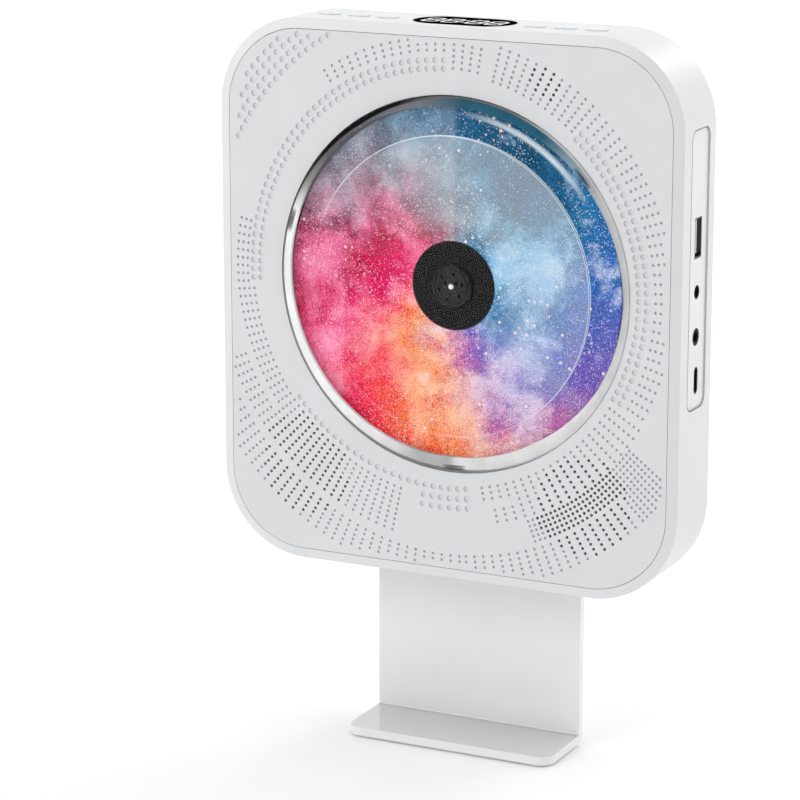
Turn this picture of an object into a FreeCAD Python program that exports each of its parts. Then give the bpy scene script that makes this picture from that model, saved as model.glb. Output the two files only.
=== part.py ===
import FreeCAD, Part
import Sketcher
import math
import os

# Desktop disc player on an L-shaped stand, in millimetres.
# +Z is up, the front faces -Y, and the origin is under the middle of the whole object.
# The player itself is laid out in its own axes, x to the right, y from the front edge of
# the housing towards the back, z from the middle of the housing; the placements of the
# bodies carry those axes to the object's own.

os.makedirs("parts", exist_ok=True)
doc = FreeCAD.newDocument("disc_player")
V = FreeCAD.Vector
ROT = FreeCAD.Rotation
PL = FreeCAD.Placement

# ---------------------------------------------------------------- driving dimensions
sheet = doc.addObject("Spreadsheet::Sheet", "sizes")
SIZES = [
    # placement of the player
    ("y_front", -13.9), ("z_mid", 157.0),
    # housing
    ("body_wide", 168.0), ("body_high", 187.0), ("body_deep", 28.0), ("body_corner", 30.5),
    ("bezel_wide", 3.5), ("bezel_rise", 1.1), ("wall", 2.2), ("lip_back", 1.0),
    ("post_out", 4.0), ("post_pilot", 1.25), ("post_x", 71.0), ("post_z", 80.5), ("post_end", 25.55),
    # front panel
    ("panel_gap", 0.18), ("face_thick", 1.2), ("panel_thick", 2.0), ("panel_rim_thick", 1.2), ("opening_rad", 63.7),
    ("ring_x", 3.0), ("ring_z", 7.6),
    ("dot_rad", 0.5), ("dot_deep", 0.6), ("dimple_rad", 1.0), ("dimple_deep", 0.45), ("grille_rad", 0.55),
    ("grille_x", 0.2), ("grille_z", 8.4),
    # disc well
    ("well_rad", 62.4), ("well_wall", 1.2), ("well_floor", 4.2), ("floor_thick", 1.4), ("well_flange", 65.4),
    ("flange_front", 2.9), ("tray_screw_pcd", 66.7),
    # cover
    ("cover_rad", 63.4), ("cover_flat", 50.7), ("cover_front", 4.6), ("cover_thick", 1.5), ("cover_foot", 0.8),
    # disc and turntable
    ("disc_rad", 60.0), ("disc_hole", 7.5), ("disc_front", 0.4), ("disc_thick", 1.2),
    ("platter_rad", 15.0), ("platter_thick", 1.4), ("boss_rad", 7.35), ("boss_front", 1.5), ("shaft_rad", 1.0),
    ("ball_rad", 0.8), ("ball_pitch", 6.9),
    # mechanism deck
    ("deck_front", 7.4), ("deck_thick", 1.2), ("motor_rad", 12.0), ("motor_long", 6.0), ("run_gap", 0.05),
    ("rod_rad", 1.5), ("rod_x", 19.0), ("rod_y", 13.0), ("rod_top", 2.0), ("rod_long", 74.0),
    ("lens_start", 25.0), ("sled_half", 11.0),
    ("rack_x", 26.0), ("gear_z", 44.0), ("rack_module", 0.6), ("rack_teeth", 12.0),
    ("train_module", 0.5), ("big_teeth", 36.0), ("pinion_teeth", 10.0), ("pinion_angle", 150.0),
    ("sled_motor_rad", 6.0),
    # speakers
    ("speaker_x", 52.5), ("speaker_z", 62.5), ("speaker_rad", 21.5), ("speaker_window", 20.3),
    # display and buttons on the top
    ("window_long", 36.2), ("window_wide", 20.0), ("window_x", 0.2), ("top_y", 14.3),
    ("button_long", 7.4), ("button_wide", 4.4), ("button_y", 12.7), ("button_gap", 0.25), ("button_proud", 0.25),
    ("button_a", 26.7), ("button_b", 37.4), ("button_c", 48.4), ("button_shift", -0.5),
    # ports in the right side
    ("port_long", 92.6), ("port_wide", 15.8), ("port_corner", 3.6), ("port_y", 14.4), ("port_z", 17.6),
    ("port_inset", 0.5), ("usb_z", 28.2), ("usb_long", 13.1), ("usb_high", 5.8),
    ("jack_a_z", 10.3), ("jack_b_z", -4.6), ("jack_bore", 1.8), ("usb_c_z", -19.3),
    ("usb_c_long", 8.94), ("usb_c_high", 3.26), ("usb_c_y", 15.2),
    # rear cover and stand
    ("rear_thick", 2.4), ("stand_wide", 77.2), ("stand_thick", 3.0), ("stand_top", -22.0),
    ("stand_foot", -156.3), ("base_front", 1.9), ("stand_corner", 5.0), ("bend_in", 0.8),
    ("stand_screw_x", 25.0), ("stand_screw_hi", -36.0), ("stand_screw_lo", -76.0), ("stand_screw_rad", 1.95),
    ("pad_thick", 0.7),
]


class Q:
    """A number with the sheet expression that it comes from."""

    def __init__(self, v, e=None):
        self.v = float(v)
        self.e = e if e is not None else repr(float(v))
        self.bound = e is not None

    @staticmethod
    def of(o):
        return o if isinstance(o, Q) else Q(o)

    def _op(self, o, op, v):
        o = Q.of(o)
        q = Q(v, "(%s %s %s)" % (self.e, op, o.e))
        q.bound = self.bound or o.bound
        return q

    def __add__(self, o):
        return self._op(o, "+", self.v + Q.of(o).v)

    def __sub__(self, o):
        return self._op(o, "-", self.v - Q.of(o).v)

    def __mul__(self, o):
        return self._op(o, "*", self.v * Q.of(o).v)

    def __truediv__(self, o):
        return self._op(o, "/", self.v / Q.of(o).v)

    def __radd__(self, o):
        return Q.of(o) + self

    def __rsub__(self, o):
        return Q.of(o) - self

    def __rmul__(self, o):
        return Q.of(o) * self

    def __neg__(self):
        q = Q(-self.v, "(0 - %s)" % self.e)
        q.bound = self.bound
        return q


for row, (alias, value) in enumerate(SIZES, start=1):
    sheet.set("A%d" % row, alias.replace("_", " "))
    sheet.set("B%d" % row, repr(float(value)))
    sheet.setAlias("B%d" % row, alias)
doc.recompute()
S = {alias: Q(getattr(sheet, alias), "sizes." + alias) for alias, value in SIZES}
N = {alias: float(getattr(sheet, alias)) for alias, value in SIZES}

PARTS = []          # (label, object)
YF, ZM = S["y_front"], S["z_mid"]


def bind(obj, prop, q):
    q = Q.of(q)
    if q.bound:
        obj.setExpression(prop, q.e)


def place(obj, x=0, y=0, z=0, rot=None):
    """Place an object given in the player's axes."""
    x, y, z = Q.of(x), YF + y, ZM + z
    obj.Placement = PL(V(x.v, y.v, z.v), rot or ROT())
    bind(obj, "Placement.Base.x", x)
    bind(obj, "Placement.Base.y", y)
    bind(obj, "Placement.Base.z", z)


def keep(label, obj):
    obj.Label = label
    PARTS.append((label, obj))
    return obj


# ---------------------------------------------------------------- sketch helpers
def new_body(label, x=0, y=0, z=0, final=True):
    b = doc.addObject("PartDesign::Body", label + "_body" if not final else label)
    place(b, x, y, z)
    if final:
        keep(label, b)
    else:
        b.Label = label + "_blank"
    return b


def origin_plane(b, role):
    for f in b.Origin.OriginFeatures:
        if f.Role == role:
            return f


def new_sketch(b, role, off):
    off = Q.of(off)
    s = b.newObject("Sketcher::SketchObject", b.Name + "_sketch")
    s.AttachmentSupport = [(origin_plane(b, role), "")]
    s.MapMode = "FlatFace"
    s.AttachmentOffset = PL(V(0, 0, off.v), ROT())
    bind(s, "AttachmentOffset.Base.z", off)
    return s


def add(s, kind, args, q=None):
    if q is None:
        return s.addConstraint(Sketcher.Constraint(kind, *args))
    q = Q.of(q)
    i = s.addConstraint(Sketcher.Constraint(kind, *(list(args) + [q.v])))
    if q.bound:
        s.setExpression("Constraints[%d]" % i, q.e)
    return i


def pin_point(s, g, p, x, y):
    x, y = Q.of(x), Q.of(y)
    if abs(x.v) < 1e-9:
        add(s, "PointOnObject", (g, p, -2))
    else:
        add(s, "DistanceX", (-1, 1, g, p), x)
    if abs(y.v) < 1e-9:
        add(s, "PointOnObject", (g, p, -1))
    else:
        add(s, "DistanceY", (-1, 1, g, p), y)


def circle(s, x, y, r):
    x, y, r = Q.of(x), Q.of(y), Q.of(r)
    g = s.addGeometry(Part.Circle(V(x.v, y.v, 0), V(0, 0, 1), r.v))
    pin_point(s, g, 3, x, y)
    add(s, "Radius", (g,), r)


def polygon(s, pts):
    pts = [(Q.of(a), Q.of(b)) for a, b in pts]
    n = len(pts)
    gs = [s.addGeometry(Part.LineSegment(V(pts[i][0].v, pts[i][1].v, 0),
                                         V(pts[(i + 1) % n][0].v, pts[(i + 1) % n][1].v, 0)))
          for i in range(n)]
    for i in range(n):
        add(s, "Coincident", (gs[i], 2, gs[(i + 1) % n], 1))
    for i in range(n):
        pin_point(s, gs[i], 1, *pts[i])


def rect(s, w, h, cx=0, cy=0):
    w, h, cx, cy = Q.of(w), Q.of(h), Q.of(cx), Q.of(cy)
    polygon(s, [(cx - w / 2, cy - h / 2), (cx + w / 2, cy - h / 2),
                (cx + w / 2, cy + h / 2), (cx - w / 2, cy + h / 2)])


def arc(s, cx, cy, r, a0, a1):
    return s.addGeometry(Part.ArcOfCircle(Part.Circle(V(cx, cy, 0), V(0, 0, 1), r),
                                          math.radians(a0), math.radians(a1)))


def rrect(s, w, h, r, cx=0, cy=0):
    """Rounded rectangle, fully constrained by its corner centres and radius."""
    w, h, r, cx, cy = [Q.of(a) for a in (w, h, r, cx, cy)]
    x0, x1 = cx - w / 2 + r, cx + w / 2 - r
    y0, y1 = cy - h / 2 + r, cy + h / 2 - r
    R = r.v
    top = s.addGeometry(Part.LineSegment(V(x0.v, y1.v + R, 0), V(x1.v, y1.v + R, 0)))
    right = s.addGeometry(Part.LineSegment(V(x1.v + R, y1.v, 0), V(x1.v + R, y0.v, 0)))
    bottom = s.addGeometry(Part.LineSegment(V(x1.v, y0.v - R, 0), V(x0.v, y0.v - R, 0)))
    left = s.addGeometry(Part.LineSegment(V(x0.v - R, y0.v, 0), V(x0.v - R, y1.v, 0)))
    tr = arc(s, x1.v, y1.v, R, 0, 90)
    br = arc(s, x1.v, y0.v, R, 270, 360)
    bl = arc(s, x0.v, y0.v, R, 180, 270)
    tl = arc(s, x0.v, y1.v, R, 90, 180)
    for a in ((top, 2, tr, 2), (tr, 1, right, 1), (right, 2, br, 2), (br, 1, bottom, 1),
              (bottom, 2, bl, 2), (bl, 1, left, 1), (left, 2, tl, 2), (tl, 1, top, 1)):
        add(s, "Tangent", a)
    add(s, "Horizontal", (top,))
    add(s, "Horizontal", (bottom,))
    add(s, "Vertical", (left,))
    add(s, "Vertical", (right,))
    for g in (br, bl, tl):
        add(s, "Equal", (tr, g))
    add(s, "Radius", (tr,), r)
    pin_point(s, tr, 3, x1, y1)
    pin_point(s, bl, 3, x0, y0)


def slot(s, length, width, cx=0, cy=0):
    """Slot with round ends, its length along the sketch's first axis."""
    length, width, cx, cy = [Q.of(a) for a in (length, width, cx, cy)]
    r = width / 2
    x0, x1 = cx - length / 2 + r, cx + length / 2 - r
    R = r.v
    top = s.addGeometry(Part.LineSegment(V(x0.v, cy.v + R, 0), V(x1.v, cy.v + R, 0)))
    bottom = s.addGeometry(Part.LineSegment(V(x1.v, cy.v - R, 0), V(x0.v, cy.v - R, 0)))
    right = arc(s, x1.v, cy.v, R, -90, 90)
    left = arc(s, x0.v, cy.v, R, 90, 270)
    add(s, "Tangent", (top, 2, right, 2))
    add(s, "Tangent", (right, 1, bottom, 1))
    add(s, "Tangent", (bottom, 2, left, 2))
    add(s, "Tangent", (left, 1, top, 1))
    add(s, "Equal", (right, left))
    add(s, "Radius", (right,), r)
    pin_point(s, right, 3, x1, cy)
    pin_point(s, left, 3, x0, cy)


def slot_up(s, length, width, cx=0, cy=0):
    """Slot with round ends, its length along the sketch's second axis."""
    length, width, cx, cy = [Q.of(a) for a in (length, width, cx, cy)]
    r = width / 2
    y0, y1 = cy - length / 2 + r, cy + length / 2 - r
    R = r.v
    right = s.addGeometry(Part.LineSegment(V(cx.v + R, y1.v, 0), V(cx.v + R, y0.v, 0)))
    left = s.addGeometry(Part.LineSegment(V(cx.v - R, y0.v, 0), V(cx.v - R, y1.v, 0)))
    low = arc(s, cx.v, y0.v, R, 180, 360)
    high = arc(s, cx.v, y1.v, R, 0, 180)
    add(s, "Tangent", (right, 2, low, 2))
    add(s, "Tangent", (low, 1, left, 1))
    add(s, "Tangent", (left, 2, high, 2))
    add(s, "Tangent", (high, 1, right, 1))
    add(s, "Equal", (low, high))
    add(s, "Radius", (low,), r)
    pin_point(s, low, 3, cx, y0)
    pin_point(s, high, 3, cx, y1)


# ---------------------------------------------------------------- feature helpers
def volume(b):
    return b.Shape.Volume if b.Shape and not b.Shape.isNull() else 0.0


def _feature(b, kind, s, length, cuts):
    length = Q.of(length)
    before = volume(b)
    f = b.newObject("PartDesign::" + kind, b.Name + "_" + kind.lower())
    f.Profile = s
    f.Type = 0
    f.Length = length.v
    bind(f, "Length", length)
    s.Visibility = False
    doc.recompute()
    after = volume(b)
    if (after >= before - 1e-6) if cuts else (after <= before + 1e-6):
        raise RuntimeError("%s on %s changed nothing: %g -> %g" % (kind, b.Label, before, after))
    return f


# Along Y: the XZ plane's normal is -Y, so a pad grows forwards from its sketch and a pocket cuts backwards.
def pad_y(b, y0, y1, *draws):
    s = new_sketch(b, "XZ_Plane", -Q.of(y1))
    for d in draws:
        d(s)
    return _feature(b, "Pad", s, Q.of(y1) - y0, False)


def pocket_y(b, y0, y1, *draws):
    s = new_sketch(b, "XZ_Plane", -Q.of(y0))
    for d in draws:
        d(s)
    return _feature(b, "Pocket", s, Q.of(y1) - y0, True)


def pad_z(b, z0, z1, *draws):
    s = new_sketch(b, "XY_Plane", z0)
    for d in draws:
        d(s)
    return _feature(b, "Pad", s, Q.of(z1) - z0, False)


def pocket_z(b, z0, z1, *draws):
    s = new_sketch(b, "XY_Plane", z1)
    for d in draws:
        d(s)
    return _feature(b, "Pocket", s, Q.of(z1) - z0, True)


def pad_x(b, x0, x1, *draws):
    s = new_sketch(b, "YZ_Plane", x0)
    for d in draws:
        d(s)
    return _feature(b, "Pad", s, Q.of(x1) - x0, False)


def pocket_x(b, x0, x1, *draws):
    s = new_sketch(b, "YZ_Plane", x1)
    for d in draws:
        d(s)
    return _feature(b, "Pocket", s, Q.of(x1) - x0, True)


def revolve(b, pts, kind="Revolution"):
    """Turn a profile of (radius, y) points about the body's Y axis."""
    s = new_sketch(b, "XY_Plane", 0)
    polygon(s, pts)
    before = volume(b)
    f = b.newObject("PartDesign::" + kind, b.Name + "_" + kind.lower())
    f.Profile = s
    f.ReferenceAxis = (s, ["V_Axis"])
    f.Angle = 360.0
    s.Visibility = False
    doc.recompute()
    after = volume(b)
    if (after <= before) if kind == "Revolution" else (after >= before):
        raise RuntimeError("%s on %s changed nothing" % (kind, b.Label))
    return f


def edges_where(b, test):
    return ["Edge%d" % (i + 1) for i, e in enumerate(b.Tip.Shape.Edges) if test(e)]


def dress(b, kind, names, size, size2=None, flip=False):
    f = b.newObject("PartDesign::" + kind, b.Name + "_" + kind.lower())
    f.Base = (b.Tip if b.Tip != f else f.BaseFeature, names)
    if kind == "Fillet":
        f.Radius = Q.of(size).v
        bind(f, "Radius", size)
    else:
        if size2 is not None:
            f.ChamferType = 1
            f.Size2 = Q.of(size2).v
            bind(f, "Size2", size2)
            f.FlipDirection = flip
        f.Size = Q.of(size).v
        bind(f, "Size", size)
    doc.recompute()
    return f


DIRS = {"+z": ROT(), "-z": ROT(V(1, 0, 0), 180), "+y": ROT(V(1, 0, 0), -90), "-y": ROT(V(1, 0, 0), 90),
        "+x": ROT(V(0, 1, 0), 90), "-x": ROT(V(0, 1, 0), -90)}


def cylinder(name, r, length, x, y, z, direction):
    c = doc.addObject("Part::Cylinder", name)
    c.Radius = Q.of(r).v
    bind(c, "Radius", r)
    c.Height = Q.of(length).v
    bind(c, "Height", length)
    place(c, x, y, z, DIRS[direction])
    return c


def box(name, x0, y0, z0, lx, ly, lz):
    c = doc.addObject("Part::Box", name)
    for prop, q in (("Length", lx), ("Width", ly), ("Height", lz)):
        setattr(c, prop, Q.of(q).v)
        bind(c, prop, q)
    place(c, x0, y0, z0)
    return c


def fuse(name, shapes):
    f = doc.addObject("Part::MultiFuse", name)
    f.Shapes = shapes
    f.Refine = True
    return f


def cut(name, base, tool):
    c = doc.addObject("Part::Cut", name)
    c.Base = base
    c.Tool = tool
    return c


def group(label, shapes):
    if len(shapes) == 1:
        return keep(label, shapes[0])
    c = doc.addObject("Part::Compound", label)
    c.Links = shapes
    return keep(label, c)


def screws(label, points, direction, head_r, head_l, shank_r, shank_l, socket=None):
    """Screws with a round head; a point is under the head, the direction is the way the shank goes."""
    back = {"+y": "-y", "-y": "+y", "+z": "-z", "-z": "+z", "+x": "-x", "-x": "+x"}[direction]
    out = []
    for i, (x, y, z) in enumerate(points, start=1):
        head = cylinder("%s_head%d" % (label, i), head_r, head_l, x, y, z, back)
        shank = cylinder("%s_shank%d" % (label, i), shank_r, shank_l, x, y, z, direction)
        whole = fuse("%s_%d" % (label, i), [head, shank])
        # cross recess in the head, two slots
        step = {"+y": (0, -1, 0), "-y": (0, 1, 0), "+z": (0, 0, -1), "-z": (0, 0, 1), "+x": (-1, 0, 0),
                "-x": (1, 0, 0)}[direction]
        w, l, dpt = head_r * 0.28, head_r * 1.25, head_l * 0.55
        cx, cy, cz = [a + s_ * (head_l - dpt / 2) for a, s_ in zip((Q.of(x).v, Q.of(y).v, Q.of(z).v), step)]
        bars = []
        for j in (0, 1):
            if direction[1] == "y":
                sx, sy, sz = (l, dpt + 0.02, w) if j else (w, dpt + 0.02, l)
            elif direction[1] == "z":
                sx, sy, sz = (l, w, dpt + 0.02) if j else (w, l, dpt + 0.02)
            else:
                sx, sy, sz = (dpt + 0.02, l, w) if j else (dpt + 0.02, w, l)
            o = [0.01 * s_ for s_ in step]
            bars.append(box("%s_bar%d_%d" % (label, i, j), cx - sx / 2 + o[0], cy - sy / 2 + o[1], cz - sz / 2 + o[2],
                            sx, sy, sz))
        cross = fuse("%s_cross%d" % (label, i), bars)
        out.append(cut("%s_screw%d" % (label, i), whole, cross))
    return group(label, out)


# ================================================================ housing shell
BW, BH, BD, BR = S["body_wide"], S["body_high"], S["body_deep"], S["body_corner"]
WALL, RISE, BEZ = S["wall"], S["bezel_rise"], S["bezel_wide"]
TOP = N["body_high"] / 2
b = new_body("housing_shell")
pad_y(b, -RISE, BD, lambda s: rrect(s, BW, BH, BR))
front_edges = edges_where(b, lambda e: abs(e.BoundBox.YMin - (-N["bezel_rise"])) < 1e-4
                          and abs(e.BoundBox.YMax - (-N["bezel_rise"])) < 1e-4)
v0 = volume(b)
f = dress(b, "Chamfer", front_edges, RISE, BEZ)
# the bezel slopes back by its rise over its width, so the front face keeps the smaller outline
face = max((fc for fc in f.Shape.Faces if abs(fc.BoundBox.YMax - (-N["bezel_rise"])) < 1e-4
            and fc.BoundBox.YLength < 1e-4), key=lambda fc: fc.Area)
if abs(face.BoundBox.XLength - (N["body_wide"] - 2 * N["bezel_wide"])) > 0.05:
    f.FlipDirection = not f.FlipDirection
    doc.recompute()
    face = max((fc for fc in f.Shape.Faces if abs(fc.BoundBox.YMax - (-N["bezel_rise"])) < 1e-4
                and fc.BoundBox.YLength < 1e-4), key=lambda fc: fc.Area)
assert abs(face.BoundBox.XLength - (N["body_wide"] - 2 * N["bezel_wide"])) < 0.05, face.BoundBox.XLength
rear_edges = edges_where(b, lambda e: abs(e.BoundBox.YMin - N["body_deep"]) < 1e-4)
dress(b, "Fillet", rear_edges, 0.8)
# cavity, open at the back, and the opening that the front panel fills
pocket_y(b, S["lip_back"], BD + 1, lambda s: rrect(s, BW - WALL * 2, BH - WALL * 2, BR - WALL))
pocket_y(b, -RISE - 1, S["lip_back"] + 1, lambda s: rrect(s, BW - BEZ * 2, BH - BEZ * 2, BR - BEZ))
# screw posts in the four corners
PX, PZ = S["post_x"], S["post_z"]
corners = [(PX, PZ), (-PX, PZ), (-PX, -PZ), (PX, -PZ)]
pad_y(b, S["lip_back"] + 3.0, S["post_end"], *[lambda s, p=p: circle(s, p[0], p[1], S["post_out"]) for p in corners])
pocket_y(b, 10.0, S["post_end"] + 1, *[lambda s, p=p: circle(s, p[0], p[1], S["post_pilot"]) for p in corners])
# window for the ports in the right side
pocket_x(b, BW / 2 - WALL - 1, BW / 2 + 1, lambda s: rrect(s, S["port_wide"], S["port_long"], S["port_corner"], S["port_y"], S["port_z"]))
# display window and button holes in the top
pocket_z(b, BH / 2 - WALL - 1, BH / 2 + 1, lambda s: slot(s, S["window_long"], S["window_wide"], S["window_x"], S["top_y"]))
BSH = S["button_shift"]
BTN = [BSH - S["button_c"], BSH - S["button_b"], BSH - S["button_a"], BSH + S["button_a"], BSH + S["button_b"], BSH + S["button_c"]]
BG = S["button_gap"]
pocket_z(b, BH / 2 - WALL - 1, BH / 2 + 1,
         *[lambda s, x=x: slot(s, S["button_long"] + BG * 2, S["button_wide"] + BG * 2, x, S["button_y"]) for x in BTN])

# two bosses under the top that carry the button board
BBS = [(-56.5, 18.5), (57.0, 18.5)]
pad_z(b, BH / 2 - 8.0, BH / 2 - WALL + 0.5, *[lambda s, p=p: circle(s, p[0], p[1], 2.5) for p in BBS])
pocket_z(b, BH / 2 - 9.0, BH / 2 - WALL - 0.3, *[lambda s, p=p: circle(s, p[0], p[1], 1.25) for p in BBS])

# ================================================================ front panel with the grille
PG = S["panel_gap"]
RX, RZ = S["ring_x"], S["ring_z"]
b = new_body("front_panel", final=False)
face_back = S["face_thick"] - RISE
panel_back = S["panel_thick"] - RISE
pad_y(b, -RISE, face_back, lambda s: rrect(s, BW - BEZ * 2 - PG * 2, BH - BEZ * 2 - PG * 2, BR - BEZ - PG))
pocket_y(b, -RISE - 1, face_back + 1, lambda s: circle(s, RX, RZ, S["opening_rad"]))
panel_blank = b

# Holes of the grille. They lie on rings about one centre, in radial columns: large shallow
# dimples, small blind dots and through holes over the two speakers and the infrared receiver.
DIMPLES, DOTS, THROUGH = [], [], []


def put(kind, angle, radius):
    a = math.radians(angle)
    kind.append((N["grille_x"] + radius * math.cos(a), N["grille_z"] + radius * math.sin(a)))


# right side: two rings of dimples, then up to four rings of dots
for k in range(33):
    th = -28.2 + 2.369 * k
    put(DIMPLES, th, 69.5)
    put(DIMPLES, th, 72.3)
    put(DOTS, th, 75.3)
    put(DOTS, th, 77.2)
    if th < -7 or th > 9.5:
        put(DOTS, th, 79.2)
    if th < -14 or th > 16:
        put(DOTS, th, 81.2)
# upper right: seven rings, with a small group of through holes for the infrared receiver
for k in range(12):
    th = 50.0 + 2.35 * k
    for j, r in enumerate((70.5, 72.2, 74.0, 75.9, 77.8, 79.7, 81.7)):
        through = (59 < th < 65 and 2 <= j <= 6 and not (th < 60 and j == 6)) or (65 < th < 67 and 3 <= j <= 5)
        put(THROUGH if through else DOTS, th, r)
for k in range(4):
    for r in (71.8, 73.9, 75.8, 77.7, 79.6):
        put(DOTS, 80.5 + 2.36 * k, r)
for k in range(4):
    for r in (77.4, 79.3):
        put(DOTS, 90.2 + 2.3 * k, r)
for k in range(11):
    for r in (77.2, 79.2, 81.2):
        put(DOTS, 99.5 + 2.35 * k, r)
# top to left: a double arc of dimples
for k in range(40):
    th = 90.3 + 2.39 * k
    r = 70.2 + 1.15 * math.cos(math.radians(2 * (th - 92)))
    put(DIMPLES, th, r)
    put(DIMPLES, th, r + 2.8)
# upper left corner: four arcs of dimples
for k0, n, r0, dr in ((118.2, 17, 90.6, -1.9), (122.3, 13, 93.5, -1.7), (124.4, 10, 96.4, -1.2), (128.4, 6, 99.0, -0.8)):
    for k in range(n):
        put(DIMPLES, k0 + 2.01 * k, r0 + dr * k / max(1, n - 1))
# left and lower left: three to ten rings of dots, with the left speaker's through holes
for k in range(45):
    th = 168.3 + 2.03 * k
    drift = max(0.0, min(1.0, (th - 200.0) / 55.0)) * 1.9
    rows = [74.1, 76.0, 77.9]
    if th > 186:
        rows.append(72.1)
    if th > 202:
        rows += [81.6, 83.5, 85.4]
    if th > 204.5:
        rows.append(87.3)
    if th > 218.5:
        rows.append(79.8)
    for r in rows:
        through = (221 < th < 242.6 and r > 79) or (223 < th < 241 and r < 79) or (243 < th < 244.5 and 79 < r < 88)
        put(THROUGH if through else DOTS, th, r + drift)
for k in range(32):
    th = 211.7 + 2.0 * k
    d = min(1.0, max(0.0, (th - 211.7) / 48.0))
    rows = [(91.4 + 2.3 * d, 0)]
    if th > 213:
        rows.append((93.1 + 2.4 * d, 1))
    if 215 < th < 264:
        rows.append((95.2 + 2.3 * d, 2))
    if 217 < th < 256.5:
        rows.append((97.1 + 2.0 * d, 3))
    if 217 < th < 252.5:
        rows.append((99.0 + 2.0 * d, 4))
    if 219 < th < 248.5:
        rows.append((101.0 + 2.0 * d, 5))
    for r, j in rows:
        lo, hi = ((223, 242.5), (223, 242.5), (225, 241), (225, 241), (227, 239), (229, 237))[j]
        put(THROUGH if lo < th < hi else DOTS, th, r)
# one arc of dimples under the opening, ending in a block of three rows
for k in range(24):
    put(DIMPLES, 219.4 + 2.5 * k, 70.2)
for k in range(6):
    put(DIMPLES, 264.2 + 2.5 * k, 73.7)
    put(DIMPLES, 264.2 + 2.5 * k, 77.0)
# lower right: seven rings, a dense band and six outer rings, with the right speaker's through holes
for k in range(20):
    th = 281.7 + 2.486 * k
    rows = [70.0, 71.9, 73.9]
    if k >= 1:
        rows += [78.0, 80.0, 82.0]
    if k >= 4:
        rows.append(75.9)
    for r in rows:
        j = int(round((r - 70) / 1.98))
        lo, hi = ((400, 0), (301, 309.6), (299, 312), (299, 314.6), (296, 314.6), (296, 317), (296, 317))[j]
        put(THROUGH if lo < th < hi else DOTS, th, r)
for k in range(27):
    th = 291.9 + 1.215 * k
    for j, r in enumerate((84.0, 85.8, 87.5, 89.3, 91.1)):
        lo = 293.8 if j < 3 else 295.4
        put(THROUGH if lo < th < 316.9 else DOTS, th, r - 0.55 * k / 26.0)
for k in range(7):
    th = 316.1 + 1.22 * k
    for j, r in enumerate((92.1, 93.8, 95.6, 97.2, 98.9, 100.6, 102.3)):
        if (j == 6 and k > 2) or (j == 5 and k > 4) or (j == 4 and k > 5):
            continue
        put(DOTS, th, r)
for k in range(21):
    th = 275.2 + 1.985 * k
    rows = [(93.6, 0), (95.5, 1)]
    for lim, r, j in ((277, 97.4, 2), (283, 99.2, 3), (286.5, 101.1, 4), (290.5, 103.0, 5)):
        if th > lim:
            rows.append((r, j))
    for r, j in rows:
        lo, hi = ((296, 316), (296, 314), (298, 314), (298, 314), (300, 311.5), (302, 309.5))[j]
        put(THROUGH if lo < th < hi else DOTS, th, r - 0.6 * max(0.0, (th - 295) / 20.0))


def on_panel(x, z, margin):
    w = (N["body_wide"] - 2 * N["bezel_wide"]) / 2 - margin
    h = (N["body_high"] - 2 * N["bezel_wide"]) / 2 - margin
    r = N["body_corner"] - N["bezel_wide"] - margin
    dx, dz = abs(x) - (w - r), abs(z) - (h - r)
    if math.hypot(x - N["ring_x"], z - N["ring_z"]) < N["opening_rad"] + margin:
        return False
    if dx > 0 and dz > 0:
        return math.hypot(dx, dz) < r
    return abs(x) < w and abs(z) < h


front_y = -N["bezel_rise"]
pins = []
for pts, rad, deep in ((DIMPLES, N["dimple_rad"], N["dimple_deep"]), (DOTS, N["dot_rad"], N["dot_deep"]),
                       (THROUGH, N["grille_rad"], N["face_thick"] + 0.4)):
    for x, z in pts:
        if on_panel(x, z, rad + 0.5):
            pins.append(Part.makeCylinder(rad, deep + 0.2, V(x, front_y - 0.2, z), V(0, 1, 0)))
grille = doc.addObject("Part::Feature", "grille_pins")
grille.Shape = Part.makeCompound(pins)
place(grille)
keep("front_panel", cut("front_panel", panel_blank, grille))

# frame behind the face plate: it carries the well, the speakers and the rim that sits behind the housing's lip
SX, SZ, SPR = S["speaker_x"], S["speaker_z"], S["speaker_rad"]
TSP = S["tray_screw_pcd"]
tray_pts = [(RX + TSP * math.cos(math.radians(a)), RZ + TSP * math.sin(math.radians(a))) for a in (38.0, 142.0, 218.0, 322.0)]
b = new_body("panel_frame")
pad_y(b, face_back, panel_back, lambda s: rrect(s, BW - BEZ * 2 - PG * 2, BH - BEZ * 2 - PG * 2, BR - BEZ - PG))
pad_y(b, panel_back, S["lip_back"] + S["panel_rim_thick"], lambda s: rrect(s, BW - WALL * 2 - 0.8, BH - WALL * 2 - 0.8, BR - WALL - 0.4))
pocket_y(b, panel_back, S["lip_back"] + S["panel_rim_thick"] + 1, lambda s: rrect(s, BW - 14, BH - 14, BR - 7))
pocket_y(b, panel_back, S["lip_back"], lambda s: rrect(s, BW - WALL * 2 + 2, BH - WALL * 2 + 2, BR - WALL + 1),
         lambda s: rrect(s, BW - BEZ * 2 - PG * 2, BH - BEZ * 2 - PG * 2, BR - BEZ - PG))
pad_y(b, panel_back, S["flange_front"], *[lambda s, p=p: circle(s, p[0], p[1], 2.4) for p in tray_pts])
pocket_y(b, 0.4, S["flange_front"] + 1, *[lambda s, p=p: circle(s, p[0], p[1], 1.0) for p in tray_pts])
pocket_y(b, face_back - 1, S["flange_front"] + 1, lambda s: circle(s, RX, RZ, S["opening_rad"]))
pocket_y(b, face_back - 1, panel_back + 1, lambda s: circle(s, -SX, -SZ, S["speaker_window"]), lambda s: circle(s, SX, -SZ, S["speaker_window"]))
pocket_y(b, face_back - 1, panel_back + 1, lambda s: rrect(s, 12.0, 14.0, 2.0, 36.3, 77.2))

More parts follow.
